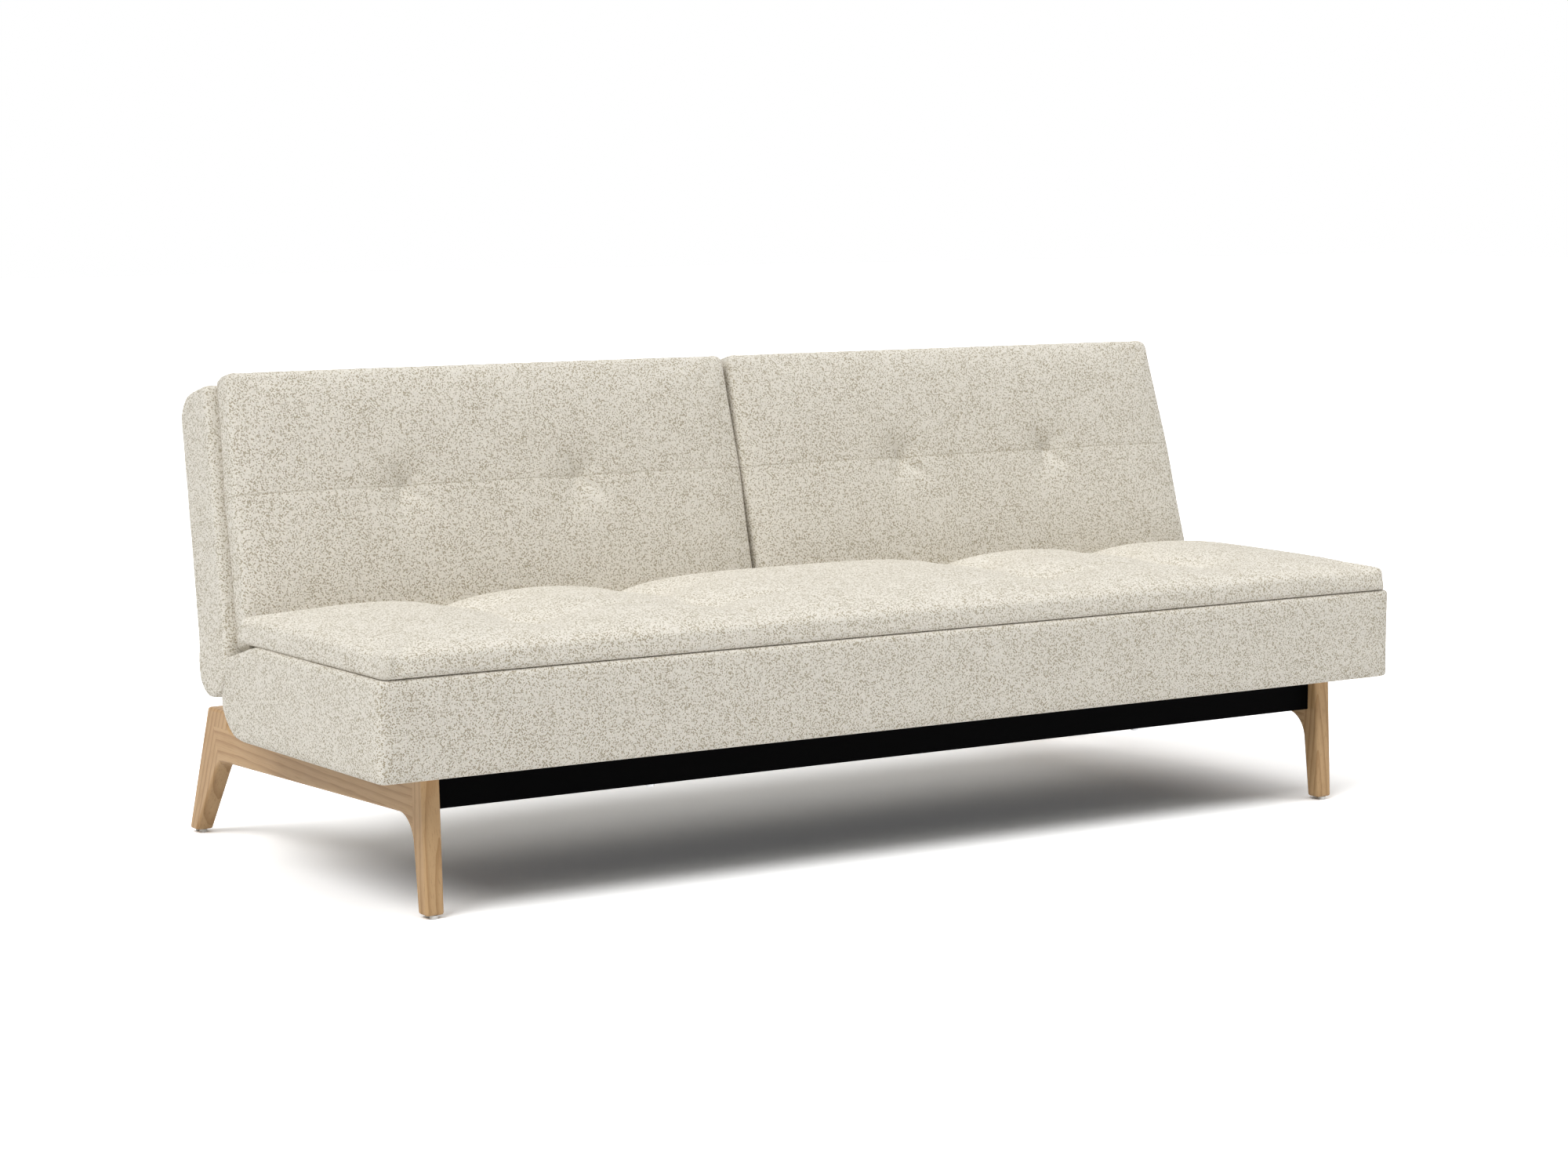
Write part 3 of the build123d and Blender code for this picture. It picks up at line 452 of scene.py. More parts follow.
def mirrored(obj, name):
    """A copy of a piece for the left side, with its own mesh and its weave running the same way."""
    twin = obj.copy()
    twin.data = obj.data.copy()
    twin.name = twin.data.name = name
    bpy.context.scene.collection.objects.link(twin)
    twin.data.transform(Matrix.Diagonal((-1.0, 1.0, 1.0, 1.0)))
    twin.data.flip_normals()
    layer = twin.data.uv_layers.active.data
    found = np.empty(len(layer) * 2)
    layer.foreach_get("uv", found)
    found[0::2] *= -1.0
    layer.foreach_set("uv", found)
    return twin


def dress(obj, material):
    """Give an object one material."""
    obj.data.materials.clear()
    obj.data.materials.append(material)


# Pads: flat fabric laid over a core, round its edge and in underneath


def pad_fabric(name, spread, cell):
    """A flat grid of fabric of this spread, and where each of its points lies on the cut."""
    bpy.ops.object.select_all(action="DESELECT")
    bpy.ops.mesh.primitive_grid_add(
        x_subdivisions=round(spread[0] / cell), y_subdivisions=round(spread[1] / cell), size=1.0
    )
    obj = new_piece(name)
    return obj, points(obj)[:, :2] * np.array(spread)


def corner_points(obj):
    """The point at each corner of a mesh's faces."""
    corners = np.empty(len(obj.data.loops), dtype=np.int32)
    obj.data.loops.foreach_get("vertex_index", corners)
    return corners


def lay_weave(obj, places):
    """Write each point's place on the cut as the UV map, in metres."""
    layer = obj.data.uv_layers.active or obj.data.uv_layers.new(name="UVMap")
    layer.data.foreach_set("uv", places[corner_points(obj)].ravel())


def on_cut(obj):
    """Where each point of a pad lies on its cut, read back from the UV map."""
    corners = corner_points(obj)
    layer = np.empty(len(corners) * 2)
    obj.data.uv_layers.active.data.foreach_get("uv", layer)
    places = np.zeros((len(obj.data.vertices), 2))
    places[corners] = layer.reshape(-1, 2)
    return places


def edge_path(reach, thickness, shoulder, tuck, hem):
    """Path of a pad's fabric over its rounded edge, down its side and in underneath.

    Gives the run along the fabric, the reach outwards and the share of the thickness left.
    """
    turn = np.linspace(0.0, pi / 2, 13)
    over = np.c_[reach * np.sin(turn), thickness - shoulder * (1.0 - np.cos(turn))]
    under = np.c_[reach - tuck * (1.0 - np.cos(turn)), tuck * (1.0 - np.sin(turn))]
    path = np.vstack([over, under, [[reach - tuck - hem, 0.0]]])
    run = np.r_[0.0, np.cumsum(np.hypot(*np.diff(path, axis=0).T))]
    return run, path[:, 0], path[:, 1] / thickness


def lay_over(flat, core, path):
    """Lay flat fabric over a pad's core and edge.

    Gives each point's place in plan, the place on the core that sets its thickness, and its share of that.
    """
    run, reach, share = path
    inside = np.clip(flat, -core, core)
    over = np.abs(flat - inside)
    along = over.max(axis=1)
    heading = np.arctan2(over[:, 1], over[:, 0])
    out = np.interp(along, run, reach)[:, None]
    plan = inside + np.sign(flat) * out * np.c_[np.cos(heading), np.sin(heading)]
    return plan, inside, np.interp(along, run, share)


def round_corners(plan, half, radius):
    """Bring the square corners of a plan about its middle to this radius."""
    past = np.clip((np.abs(plan) - half + radius) / radius, 0.0, 1.0)
    eased = past * np.sqrt(1.0 - past[:, ::-1] ** 2 / 2.0)
    return np.sign(plan) * (np.abs(plan) - radius * (past - eased))


def close_underside(obj):
    """Close the open rim under a pad."""
    only(obj)
    bpy.ops.object.mode_set(mode="EDIT")
    bpy.ops.mesh.select_all(action="DESELECT")
    bpy.ops.mesh.select_mode(type="VERT")
    bpy.ops.mesh.select_non_manifold()
    bpy.ops.mesh.edge_face_add()
    bpy.ops.mesh.select_all(action="SELECT")
    bpy.ops.mesh.normals_make_consistent(inside=False)
    bpy.ops.object.mode_set(mode="OBJECT")


def rise(distance, run):
    """How far a pad has risen to its crown, this far in from an edge."""
    return 1.0 - np.exp(-np.maximum(distance, 0.0) / run)


def crease(places, start, end, width, depth):
    """Depth of a crease that fades from its start to its end, with a low lip on either side of it."""
    start, end = np.array(start), np.array(end)
    line = end - start
    share = np.clip(((places - start) @ line) / (line @ line), 0.0, 1.0)
    away = np.linalg.norm(places - start - share[:, None] * line, axis=1) / width
    strength = (1.0 - share) * np.minimum(CREASE_START + share / CREASE_GROWTH, 1.0)
    lips = LIP_HEIGHT * np.exp(-((away - LIP_PLACE) ** 2))
    return depth * strength * (np.exp(-(away**2)) - lips)


# Materials


def plug(tree, socket, value):
    """Link another node's output to a socket, or set the socket to a number or colour."""
    if isinstance(value, bpy.types.NodeSocket):
        tree.links.new(value, socket)
    else:
        socket.default_value = value


def add_node(tree, kind, inputs=None, **values):
    """Add a shader node, set its values and feed its inputs with numbers or other nodes' outputs."""
    made = tree.nodes.new("ShaderNode" + kind)
    for name, value in values.items():
        setattr(made, name, value)
    for socket, value in (inputs or {}).items():
        plug(tree, made.inputs[socket], value)
    return made


def blank_finish(name):
    """A new material with an empty tree and its surface shader."""
    material = bpy.data.materials.new(name)
    material.use_nodes = True
    tree = material.node_tree
    tree.nodes.clear()
    shader = add_node(tree, "BsdfPrincipled")
    output = add_node(tree, "OutputMaterial")
    tree.links.new(shader.outputs[0], output.inputs[0])
    return material, tree, shader


def feed(tree, shader, **inputs):
    """Set or link the shader's inputs, named with underscores for spaces."""
    for name, value in inputs.items():
        plug(tree, shader.inputs[name.replace("_", " ")], value)


def opaque(colour):
    """A colour with its alpha."""
    return (*colour, 1.0)


def math(tree, operation, first, second=0.0, clamp=False):
    """A sum on one or two values or outputs."""
    return add_node(tree, "Math", {0: first, 1: second}, operation=operation, use_clamp=clamp).outputs[0]


def blended(tree, share, first, second):
    """Two colours mixed by a share."""
    return add_node(tree, "Mix", {0: share, 6: first, 7: second}, data_type="RGBA").outputs[2]


def ranged(tree, value, low, high, to_low=0.0, to_high=1.0):
    """A value brought from one range to another, smoothly."""
    node = add_node(
        tree,
        "MapRange",
        {0: value, 1: low, 2: high, 3: to_low, 4: to_high},
        interpolation_type="SMOOTHSTEP",
    )
    return node.outputs[0]


def woven_finish(name, seam=None):
    """Diagonal oatmeal twill with olive-brown flecks that clump, and on the back pads a stitched seam line:
    dark thread dashes over a painted shade along the seam's groove.
    """
    material, tree, shader = blank_finish(name)
    uv = add_node(tree, "TexCoord").outputs["UV"]
    pitch = 1.0 / sizes().yarn
    turned = add_node(
        tree, "Mapping", {"Vector": uv, "Rotation": (0.0, 0.0, pi / 4), "Scale": (pitch, pitch, 1.0)}
    )
    yarn = add_node(
        tree,
        "TexVoronoi",
        {"Vector": turned.outputs[0], "Scale": 1.0, "Randomness": 0.3},
        voronoi_dimensions="2D",
    )
    strand = add_node(tree, "SeparateColor", {0: yarn.outputs["Color"]}).outputs[0]
    clump = add_node(
        tree,
        "TexNoise",
        {"Vector": uv, "Scale": 330.0, "Detail": 2.0, "Roughness": 0.6},
        noise_dimensions="2D",
    ).outputs[0]
    cloud = add_node(
        tree, "TexNoise", {"Vector": uv, "Scale": 16.0, "Detail": 3.0}, noise_dimensions="2D"
    ).outputs[0]
    uneven = math(tree, "ADD", math(tree, "MULTIPLY", clump, 0.12), math(tree, "MULTIPLY", cloud, 0.25))
    chosen = math(tree, "ADD", strand, uneven)
    fleck = ranged(tree, chosen, 0.64, 1.12)
    crown = ranged(tree, yarn.outputs["Distance"], 0.62, 0.15)
    mark = math(tree, "MULTIPLY", fleck, ranged(tree, crown, 0.0, 0.5, 0.35, 1.0))
    pale = opaque(colours().fabric_pale)
    shade = opaque([0.74 * part for part in colours().fabric_pale])
    ground = blended(tree, ranged(tree, math(tree, "ADD", strand, crown), 0.3, 1.3), shade, pale)
    colour = blended(tree, mark, ground, opaque(colours().fabric_fleck))
    height = math(tree, "ADD", crown, math(tree, "MULTIPLY", clump, 0.6))
    # Back pads' seam line: the dark stitch dashes are thread, and the line stays half dark between them as
    # painted shade in the seam's groove
    if seam is not None:
        parts = add_node(tree, "SeparateXYZ", {0: uv})
        off = math(tree, "ABSOLUTE", math(tree, "SUBTRACT", parts.outputs[1], seam))
        stitch = math(tree, "FRACT", math(tree, "MULTIPLY", parts.outputs[0], 160.0))
        by_seam = ranged(tree, off, 0.0020, 0.0006)
        # held is the seam line's darkness: full at the thread stitches and half between them, where it is
        # painted groove shade
        held = math(tree, "MULTIPLY", by_seam, ranged(tree, stitch, 0.95, 0.70, 0.5, 1.0))
        colour = blended(tree, math(tree, "MULTIPLY", held, 0.35), colour, opaque(colours().fabric_fleck))
    bump = add_node(tree, "Bump", {"Strength": 0.55, "Distance": 0.0005, "Height": height})
    feed(
        tree,
        shader,
        Base_Color=colour,
        Normal=bump.outputs[0],
        Roughness=0.92,
        Specular_IOR_Level=0.15,
        Sheen_Weight=0.12,
        Sheen_Roughness=0.5,
    )
    return material


def oak_finish(name, turn, pith):
    """Light natural oak: rings about a pith outside the piece, pores along the grain, a thin oiled sheen.

    turn lays the grain, which runs along the pattern's Z, along the piece.
    """
    material, tree, shader = blank_finish(name)
    place = add_node(tree, "TexCoord").outputs["Object"]
    laid = add_node(tree, "Mapping", {"Vector": place, "Location": pith, "Rotation": turn}).outputs[0]
    long_way = add_node(tree, "Mapping", {"Vector": laid, "Scale": (1.0, 1.0, 0.14)}).outputs[0]
    rings = add_node(
        tree,
        "TexWave",
        {
            "Vector": long_way,
            "Scale": 24.0,
            "Distortion": 5.0,
            "Detail": 3.0,
            "Detail Scale": 0.8,
            "Detail Roughness": 0.6,
        },
        wave_type="RINGS",
        rings_direction="Z",
        wave_profile="SAW",
    ).outputs[1]
    fibre_place = add_node(tree, "Mapping", {"Vector": laid, "Scale": (1.0, 1.0, 0.03)}).outputs[0]
    fibre = add_node(
        tree, "TexNoise", {"Vector": fibre_place, "Scale": 620.0, "Detail": 3.0, "Roughness": 0.65}
    ).outputs[0]
    board = add_node(tree, "TexNoise", {"Vector": long_way, "Scale": 22.0, "Detail": 2.0}).outputs[0]
    late = math(tree, "MULTIPLY", ranged(tree, rings, 0.45, 1.0), 0.75)
    pores = ranged(tree, fibre, 0.52, 0.72)
    share = math(tree, "ADD", late, math(tree, "MULTIPLY", ranged(tree, board, 0.35, 0.7), 0.3), True)
    grain = blended(tree, share, opaque(colours().oak_pale), opaque(colours().oak_deep))
    pore_colour = opaque([0.62 * part for part in colours().oak_deep])
    colour = blended(tree, math(tree, "MULTIPLY", pores, 0.45), grain, pore_colour)
    height = math(tree, "ADD", fibre, math(tree, "MULTIPLY", rings, 0.3))
    bump = add_node(tree, "Bump", {"Strength": 0.25, "Distance": 0.0003, "Height": height})
    feed(
        tree,
        shader,
        Base_Color=colour,
        Roughness=ranged(tree, fibre, 0.3, 0.8, 0.42, 0.58),
        Normal=bump.outputs[0],
        Specular_IOR_Level=0.25,
    )
    return material


def mottled_finish(
    name, first, second, scale, stretch=(1.0, 1.0, 1.0), rough=(0.4, 0.6), bump=0.0002, **fixed
):
    """A finish of two close colours mixed by a noise, with its roughness and relief from the same noise."""
    material, tree, shader = blank_finish(name)
    place = add_node(tree, "TexCoord").outputs["Object"]
    laid = add_node(tree, "Mapping", {"Vector": place, "Scale": stretch}).outputs[0]
    noise = add_node(
        tree, "TexNoise", {"Vector": laid, "Scale": scale, "Detail": 4.0, "Roughness": 0.6}
    ).outputs[0]
    colour = blended(tree, ranged(tree, noise, 0.35, 0.65), opaque(first), opaque(second))
    relief = add_node(tree, "Bump", {"Strength": 0.4, "Distance": bump, "Height": noise})
    feed(
        tree,
        shader,
        Base_Color=colour,
        Roughness=ranged(tree, noise, 0.3, 0.7, *rough),
        Normal=relief.outputs[0],
        **fixed,
    )
    return material


def checked_finish(name, first, second, pitch, rough, bump):
    """Plain woven webbing or cloth: yarns over and under in two directions."""
    material, tree, shader = blank_finish(name)
    place = add_node(tree, "TexCoord").outputs["Object"]
    waves = [
        add_node(
            tree,
            "TexWave",
            {"Vector": place, "Scale": 0.1 / pitch, "Distortion": 0.6, "Detail": 1.0, "Detail Scale": 3.0},
            wave_type="BANDS",
            bands_direction=axis,
        ).outputs[1]
        for axis in ("X", "Y", "Z")
    ]
    across = math(tree, "MAXIMUM", waves[1], waves[2])
    weave = math(tree, "MULTIPLY", math(tree, "ADD", waves[0], across), 0.5)
    relief = add_node(tree, "Bump", {"Strength": 0.5, "Distance": bump, "Height": weave})
    feed(
        tree,
        shader,
        Base_Color=blended(tree, weave, opaque(first), opaque(second)),
        Roughness=ranged(tree, weave, 0.0, 1.0, *rough),
        Normal=relief.outputs[0],
        Sheen_Weight=0.1,
    )
    return material


# Operators


class SOFA_OT_oak(Operator):
    """Finish the legs and side rails in light oak, with the grain along each piece."""

    bl_idname = "sofa.oak"
    bl_label = "Oak End Frames"

    def execute(self, context):
        for side, sign in SIDES:
            for node, ending, degrees, (out, back, up) in OAK_PIECES:
                turn = [radians(angle) for angle in degrees]
                material = oak_finish(f"oak_{side}_{ending}", turn, (-sign * out, back, up))
                dress(frame["nodes"][f"{side}_{node}"], material)
        return {"FINISHED"}


class SOFA_OT_steel(Operator):
    """Finish the rails and frames in black powder coat, and the hinges and bolts in zinc."""

    bl_idname = "sofa.steel"
    bl_label = "Steel Parts"

    def execute(self, context):
        black = colours().black_coat
        coat = mottled_finish(
            "black_coat",
            black,
            [1.5 * part for part in black],
            900.0,
            rough=(0.55, 0.68),
            Specular_IOR_Level=0.015,
        )
        zinc = colours().zinc
        plated = mottled_finish(
            "zinc_plate",
            zinc,
            [0.82 * part for part in zinc],
            60.0,
            rough=(0.28, 0.42),
            bump=0.00005,
            Metallic=1.0,
        )
        for name, node in frame["nodes"].items():
            if "cross_rail" in name or name.endswith(("seat_frame", "back_frame")):
                dress(node, coat)
            elif "hinge" in name or "pawl" in name or "bolts" in name:
                dress(node, plated)
        return {"FINISHED"}


class SOFA_OT_inside(Operator):
    """Finish the glides and what the upholstery holds: slats, holders, foam, webbing and dust cover."""

    bl_idname = "sofa.inside"
    bl_label = "Glides and Insides"

    def execute(self, context):
        glide = mottled_finish(
            "glide_plastic", (0.72, 0.71, 0.68), (0.66, 0.65, 0.62), 300.0, rough=(0.35, 0.5)
        )
        slat = mottled_finish(
            "slat_ply",
            (0.66, 0.49, 0.31),
            (0.52, 0.36, 0.21),
            260.0,
            stretch=(1.0, 0.05, 1.0),
            rough=(0.45, 0.6),
        )
        holder = mottled_finish("holder_plastic", (0.030, 0.030, 0.032), (0.045, 0.045, 0.047), 700.0)
        foam = mottled_finish(
            "foam", (0.78, 0.72, 0.52), (0.66, 0.60, 0.42), 420.0, rough=(0.85, 0.98), bump=0.001
        )
        webbing = checked_finish(
            "webbing", (0.035, 0.034, 0.033), (0.10, 0.098, 0.094), 0.0022, (0.7, 0.9), 0.0005
        )
        dust = checked_finish(
            "dust_cloth", (0.018, 0.018, 0.019), (0.036, 0.036, 0.038), 0.0016, (0.8, 0.95), 0.0003
        )
        for name, node in frame["nodes"].items():
            for ending, material in (
                ("foot_glides", glide),
                ("seat_slats", slat),
                ("slat_holders", holder),
                ("foam", foam),
                ("webbing", webbing),
                ("dust_cover", dust),
            ):
                if name.endswith(ending):
                    dress(node, material)
        return {"FINISHED"}


class SOFA_OT_seat_cover(Operator):
    """Upholstered seat box: a block with a sloping shelf and a scooped rear, hollow below for the frame."""

    bl_idname = "sofa.seat_cover"
    bl_label = "Seat Cover"

    def execute(self, context):
        low = Vector((SEAT_LOW.x - SEAT_END_OUT, SEAT_LOW.y - SEAT_FRONT_OUT, SEAT_LOW.z))
        high = Vector((SEAT_HIGH.x + SEAT_END_OUT, SEAT_REAR, SEAT_HIGH.z))
        cover = block("seat_cover", low, high)
        only(cover)
        bpy.ops.object.mode_set(mode="EDIT")
        bpy.ops.mesh.select_all(action="SELECT")
        bpy.ops.mesh.bisect(
            plane_co=(0.0, SHELF_CORNER, high.z),
            plane_no=(0.0, sin(RECLINE), cos(RECLINE)),
            use_fill=True,
            clear_outer=True,
        )
        bpy.ops.object.mode_set(mode="OBJECT")
        bevel_edges(cover, lambda p: abs(p.y - low.y) < NEAR, *SEWN_EDGE)
        bevel_edges(cover, lambda p: abs(p.y - high.y) < NEAR and abs(p.z - low.z) < NEAR, *SEAT_REAR_EDGE)
        for x in (low.x, high.x):
            bevel_edges(cover, lambda p: abs(p.x - x) < NEAR, *SEWN_EDGE)
        carve(cover, roller("scoop", SCOOP_RADIUS, low.x - OVERRUN, high.x + OVERRUN, HINGE.y, HINGE.z))
        remesh(cover, sizes().cover_cell)
        places = points(cover)
        to_hinge = np.hypot(places[:, 1] - HINGE.y, places[:, 2] - HINGE.z)
        pinned = to_hinge < SCOOP_RADIUS + HELD_SCOOP
        pinned |= (places[:, 2] < low.z + HELD_BOTTOM) | (places[:, 2] > high.z - HELD_TOP)
        swell(cover, pinned, sizes().cover_swell)
        apply_modifier(cover, "SUBSURF", levels=1, render_levels=1)
        recess_low = (TUBE_LOW.x, TUBE_LOW.y, low.z - RECESS_OVERRUN)
        recess_high = (TUBE_HIGH.x, TUBE_HIGH.y, low.z + RECESS_HEIGHT)
        carve(cover, block("recess", recess_low, recess_high))
        box_unwrap(cover)
        smooth_shade(cover)
        dress(cover, woven_finish("seat_weave"))
        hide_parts("seat_box")
        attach(cover, "base")
        return {"FINISHED"}


class SOFA_OT_back_covers(Operator):
    """Upholstered back shells: tapered slabs with a round lower end that turns in the seat's scoop."""

    bl_idname = "sofa.back_covers"
    bl_label = "Back Covers"

    def execute(self, context):
        outer = BACK_OUTER + BACK_END_OUT
        height = BACK_LENGTH + BACK_TOP_OUT
        cover = block("right_back_cover", (BACK_INNER, -BACK_HALF, 0.0), (outer, BACK_HALF, height))
        top = height - NEAR
        bevel_edges(cover, lambda p: p.z > top and p.y > 0.0, *BACK_REAR_EDGE)
        bevel_edges(cover, lambda p: p.z > top and p.y < -BACK_HALF + NEAR, *BACK_FRONT_EDGE)
        end = roller("lower_end", BACK_HALF, BACK_INNER, outer, 0.0, 0.0)
        for form in (cover, end):
            for x in (BACK_INNER, outer):
                bevel_edges(form, lambda p: abs(p.x - x) < NEAR, *SEWN_EDGE)
        only(cover)
        end.select_set(True)
        bpy.ops.object.join()
        remesh(cover, sizes().cover_cell)
        swell(cover, points(cover)[:, 2] < HELD_LOWER_END, sizes().cover_swell)
        apply_modifier(cover, "SUBSURF", levels=1, render_levels=1)
        places = points(cover)
        share = (places[:, 0] - BACK_INNER) / (outer - BACK_INNER)
        places[:, 0] -= share * BACK_TAPER * (places[:, 2] + BACK_HALF)
        set_points(cover, places)
        box_unwrap(cover)
        smooth_shade(cover)
        dress(cover, woven_finish("back_weave"))
        twin = mirrored(cover, "left_back_cover")
        for side, piece in (("left", twin), ("right", cover)):
            piece.data.transform(BACK_FRAME)
            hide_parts(f"{side}_back_shell")
            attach(piece, f"{side}_back")
        return {"FINISHED"}


class SOFA_OT_seat_pad(Operator):
    """Seat pad: crowned topper with two rows of tufts that draw it into five soft bays."""

    bl_idname = "sofa.seat_pad"
    bl_label = "Seat Pad"

    def thickness(self, place, depth):
        """Thickness of the pad at these places, with their depth behind its front edge."""
        size = sizes()
        to_end = SEAT_PAD_HIGH.x - np.abs(place[:, 0])
        to_rear = SEAT_PAD_HIGH.y - SEAT_PAD_LOW.y - depth
        full = rise(to_end, SEAT_END_RUN) * rise(depth, SEAT_FRONT_RUN) * rise(to_rear, SEAT_REAR_RUN)
        edge = size.seat_edge + END_LIFT * np.exp(-to_end / END_LIFT_RUN)
        thick = edge + (size.seat_crown - size.seat_edge) * full
        row = np.max([np.exp(-(((depth - line) / VALLEY_ROW_SPREAD) ** 2)) for line in TUFT_ROWS], axis=0)
        row = np.where(depth > TUFT_ROWS[1], 1.0, row)
        sunk = rise(depth, VALLEY_FRONT_RUN)
        for column in SEAT_COLUMNS:
            away = np.abs(place[:, 0] - column)
            valley = sunk * (VALLEY_SHARE + VALLEY_ROW_SHARE * row)
            thick -= valley * size.seat_tuft * np.exp(-away / VALLEY_RUN)
            for line in TUFT_ROWS:
                spot = np.hypot(away, depth - line)
                thick -= size.seat_tuft * SEAT_DIMPLE_SHARE * np.exp(-spot / SEAT_DIMPLE_RUN)
        return thick

    def execute(self, context):
        size = sizes()
        middle = np.array([0.0, (SEAT_PAD_LOW.y + SEAT_PAD_HIGH.y) / 2])
        half = np.array([SEAT_PAD_HIGH.x, (SEAT_PAD_HIGH.y - SEAT_PAD_LOW.y) / 2]) + SEAT_DRAW
        path = edge_path(SEAT_REACH, size.seat_edge, **SEAT_RIM)
        core = half - SEAT_REACH
        pad, flat = pad_fabric("seat_cushion", 2 * (core + path[0][-1]), size.cell)
        lay_weave(pad, flat)
        plan, inside, share = lay_over(flat, core, path)
        plan = round_corners(plan, half, PAD_CORNER)
        thick = self.thickness(inside, inside[:, 1] + half[1])
        base = SEAT_PAD_LOW.z - SEAT_PAD_SUNK
        set_points(pad, np.c_[plan + middle, base + thick * share])
        pinned = share < HELD_SHARE
        for column in SEAT_COLUMNS:
            for line in TUFT_ROWS:
                pinned |= np.hypot(flat[:, 0] - column, flat[:, 1] + half[1] - line) < SEAT_THREAD
        swell(pad, pinned, size.seat_swell)
        apply_modifier(pad, "SUBSURF", levels=1, render_levels=1)
        close_underside(pad)
        smooth_shade(pad)
        dress(pad, woven_finish("seat_pad_weave"))
        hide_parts("seat_pad")
        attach(pad, "base")
        return {"FINISHED"}


class SOFA_OT_back_pads(Operator):
    """Back pads: nearly flat cushions with a sewn cross seam and two tufts with their creases."""

    bl_idname = "sofa.back_pads"
    bl_label = "Back Pads"

    def thickness(self, x, up, middle):
        """Thickness of the pad this far across and up."""
        size = sizes()
        span = middle[0] - BACK_INNER
        to_side = span - np.abs(x - middle[0])
        to_end = np.minimum(up - BACK_PAD_LOW, BACK_PAD_TOP - up)
        full = rise(to_side, BACK_EDGE_RUN) * rise(to_end, BACK_EDGE_RUN)
        thick = size.back_edge + (size.back_crown - size.back_edge) * full
        off = up - SEAM_HEIGHT
        for column in TUFT_COLUMNS:
            spot = np.hypot(x - column, np.where(off > 0.0, off, off * BELOW_SEAM))
            dimple = BACK_DIMPLE_SHARE * np.exp(-spot / BACK_DIMPLE_RUN)
            thick -= size.back_tuft * (dimple + FUNNEL_SHARE * np.exp(-((spot / FUNNEL_SPREAD) ** 2)))
        return thick

    def execute(self, context):
        size = sizes()
        outer = BACK_OUTER - BACK_TAPER * (SEAM_HEIGHT + BACK_HALF) - BACK_PAD_INSET
        middle = np.array([(BACK_INNER + outer) / 2, (BACK_PAD_LOW + BACK_PAD_TOP) / 2])
        half = np.array([(outer - BACK_INNER) / 2, (BACK_PAD_TOP - BACK_PAD_LOW) / 2]) + BACK_DRAW
        path = edge_path(BACK_REACH, size.back_edge, **BACK_RIM)
        core = half - BACK_REACH
        pad, flat = pad_fabric("right_back_cushion", 2 * (core + path[0][-1]), size.cell)
        lay_weave(pad, flat + middle)
        plan, inside, share = lay_over(flat, core, path)
        inside = inside + middle
        thick = self.thickness(inside[:, 0], inside[:, 1], middle)
        base = -BACK_HALF - BACK_PAD_GAP
        plan = round_corners(plan, half, PAD_CORNER) + middle
        slant = (plan[:, 0] - BACK_INNER) / (outer - BACK_INNER) * BACK_TAPER * (plan[:, 1] - SEAM_HEIGHT)
        set_points(pad, np.c_[plan[:, 0] - slant, base - thick * share, plan[:, 1]])
        on = flat + middle
        pinned = share < HELD_SHARE
        for column in TUFT_COLUMNS:
            pinned |= np.hypot(on[:, 0] - column, on[:, 1] - SEAM_HEIGHT) < BACK_THREAD
        by_seam = np.exp(-(((on[:, 1] - SEAM_HEIGHT) / SEAM_BAND) ** 2))
        swell(pad, pinned, size.back_swell * (1.0 - by_seam))
        apply_modifier(pad, "SUBSURF", levels=1, render_levels=1)
        close_underside(pad)
        smooth_shade(pad)
        dress(pad, woven_finish("back_pad_weave", SEAM_HEIGHT))
        twin = mirrored(pad, "left_back_cushion")
        for (side, sign), piece in zip(SIDES, (twin, pad)):
            cut = on_cut(piece)
            to_side = half[0] - np.abs(np.abs(cut[:, 0]) - middle[0])
            sewn = np.clip((to_side - SEAM_END) / SEAM_FADE, 0.0, 1.0)
            sunk = SEAM_DEPTH * sewn * np.exp(-(((cut[:, 1] - SEAM_HEIGHT) / SEAM_WIDTH) ** 2))
            for column, above, below in zip(TUFT_COLUMNS, CREASES_ABOVE, CREASES_BELOW):
                tuft = np.array((sign * column, SEAM_HEIGHT))
                for across, up, width, depth in CREASES:
                    length = above if up > 0.0 else below
                    sunk += crease(cut, tuft, tuft + (across * length, up * length), width, depth)
                spot = np.linalg.norm(cut - tuft, axis=1)
                sunk -= TUFT_LIFT * np.exp(-((spot / TUFT_LIFT_SPREAD) ** 2))
            places = points(piece)
            front = places[:, 1] < base - FRONT_SHARE * size.back_edge
            places[:, 1] += np.where(front, sunk, 0.0)
            set_points(piece, places)
            piece.data.transform(BACK_FRAME)
            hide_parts(f"{side}_back_pad")
            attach(piece, f"{side}_back")
        return {"FINISHED"}


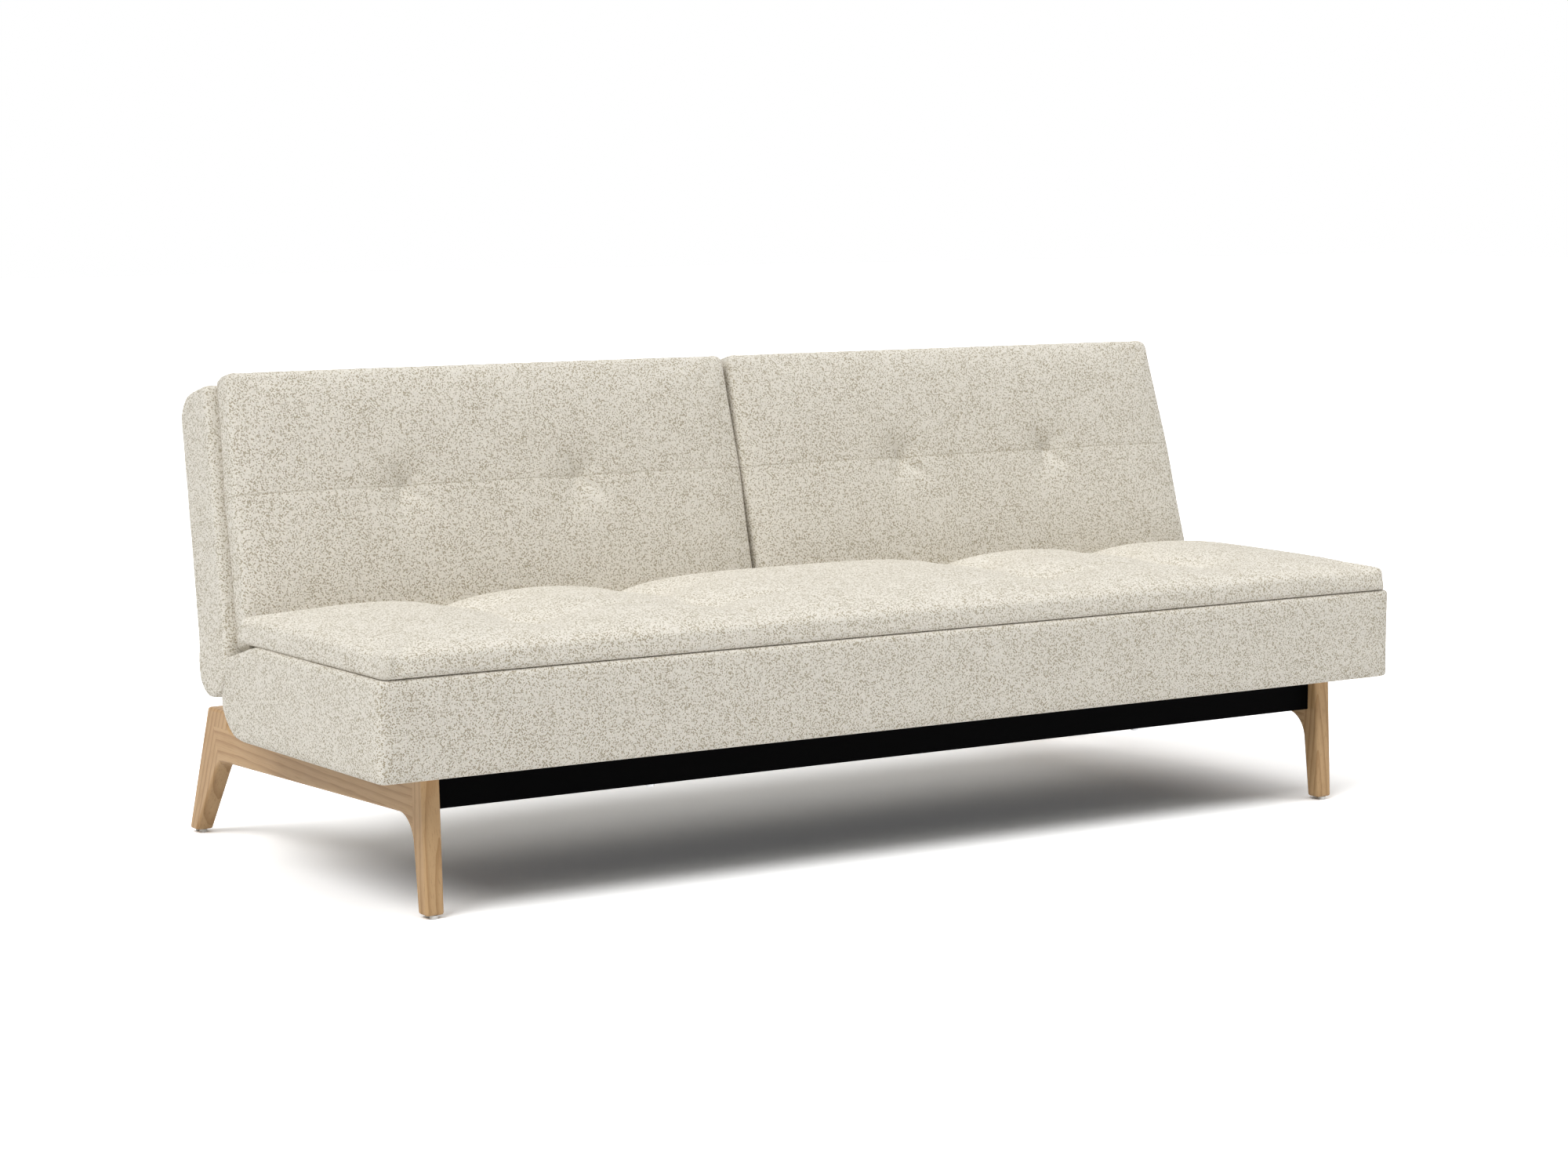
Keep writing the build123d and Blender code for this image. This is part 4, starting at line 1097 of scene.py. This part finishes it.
class SOFA_OT_stage(Operator):
    """White floor, soft studio light from above, behind and both sides, and the camera."""

    bl_idname = "sofa.stage"
    bl_label = "Stage"

    def seen_rays(self, tree):
        """1 for what is seen straight, in gloss or through glass, and 0 for the light on the object."""
        rays = add_node(tree, "LightPath").outputs
        reflected = math(tree, "MAXIMUM", rays["Is Glossy Ray"], rays["Is Transmission Ray"])
        return math(tree, "MAXIMUM", rays["Is Camera Ray"], reflected)

    def lamp(self, name, strength, spread, towards):
        """A wide soft lamp, so far off that it lights evenly; strength 1 lights a colour as written."""
        data = bpy.data.lights.new(name, "SUN")
        data.energy = strength * pi
        data.angle = radians(spread)
        obj = bpy.data.objects.new(name, data)
        obj.rotation_euler = Vector(towards).to_track_quat("-Z", "Y").to_euler()
        bpy.context.scene.collection.objects.link(obj)

    def execute(self, context):
        scene = context.scene
        bpy.ops.object.select_all(action="DESELECT")
        bpy.ops.mesh.primitive_plane_add(size=FLOOR_SIZE)
        floor = new_piece("floor")
        material, tree, shader = blank_finish("floor_white")
        tree.nodes.remove(shader)
        shown = self.seen_rays(tree)
        white = blended(tree, shown, opaque([FLOOR_LIT] * 3), opaque([FLOOR_SEEN] * 3))
        matt = add_node(tree, "BsdfDiffuse", {"Color": white, "Roughness": 0.0})
        tree.links.new(matt.outputs[0], tree.nodes["Material Output"].inputs[0])
        dress(floor, material)

        world = bpy.data.worlds.new("studio")
        scene.world = world
        world.use_nodes = True
        tree = world.node_tree
        tree.nodes.clear()
        shown = self.seen_rays(tree)
        soft = add_node(tree, "Background", {"Color": (1.0, 1.0, 1.0, 1.0), "Strength": AMBIENT})
        white = add_node(tree, "Background", {"Color": (1.0, 1.0, 1.0, 1.0), "Strength": 1.0})
        mixed = add_node(tree, "MixShader", {0: shown, 1: soft.outputs[0], 2: white.outputs[0]})
        output = add_node(tree, "OutputWorld")
        tree.links.new(mixed.outputs[0], output.inputs[0])

        for lamp in LAMPS:
            self.lamp(*lamp)

        data = bpy.data.cameras.new("camera")
        data.lens = CAMERA_LENS
        data.sensor_width = CAMERA_SENSOR
        data.dof.use_dof = False
        camera = bpy.data.objects.new("camera", data)
        camera.location = CAMERA_PLACE
        camera.rotation_euler = [radians(angle) for angle in CAMERA_TURN]
        scene.collection.objects.link(camera)
        scene.camera = camera
        scene.view_settings.view_transform = "Standard"
        return {"FINISHED"}


class SOFA_PT_panel(Panel):
    """Lists the sofa bed's sizes, colours and steps."""

    bl_idname = "SOFA_PT_panel"
    bl_label = "Sofa Bed"
    bl_space_type = "VIEW_3D"
    bl_region_type = "UI"
    bl_category = "Sofa Bed"

    def draw(self, context):
        for group in (context.scene.sofa_sizes, context.scene.sofa_colours):
            box = self.layout.box()
            for name in group.__annotations__:
                box.prop(group, name)
        for step in STEPS:
            self.layout.operator(step.bl_idname)


STEPS = (
    SOFA_OT_oak,
    SOFA_OT_steel,
    SOFA_OT_inside,
    SOFA_OT_seat_cover,
    SOFA_OT_back_covers,
    SOFA_OT_seat_pad,
    SOFA_OT_back_pads,
    SOFA_OT_stage,
)
CLASSES = (SofaSizes, SofaColours, *STEPS, SOFA_PT_panel)


def register():
    """Register the classes and hang the settings on the scene."""
    for item in CLASSES:
        bpy.utils.register_class(item)
    bpy.types.Scene.sofa_sizes = PointerProperty(type=SofaSizes)
    bpy.types.Scene.sofa_colours = PointerProperty(type=SofaColours)


def unregister():
    """Take the settings and classes away again."""
    del bpy.types.Scene.sofa_colours
    del bpy.types.Scene.sofa_sizes
    for item in reversed(CLASSES):
        bpy.utils.unregister_class(item)


def main():
    """Run the steps in order."""
    register()
    bpy.ops.sofa.oak()
    bpy.ops.sofa.steel()
    bpy.ops.sofa.inside()
    bpy.ops.sofa.seat_cover()
    bpy.ops.sofa.back_covers()
    bpy.ops.sofa.seat_pad()
    bpy.ops.sofa.back_pads()
    bpy.ops.sofa.stage()


if __name__ == "__main__":
    main()
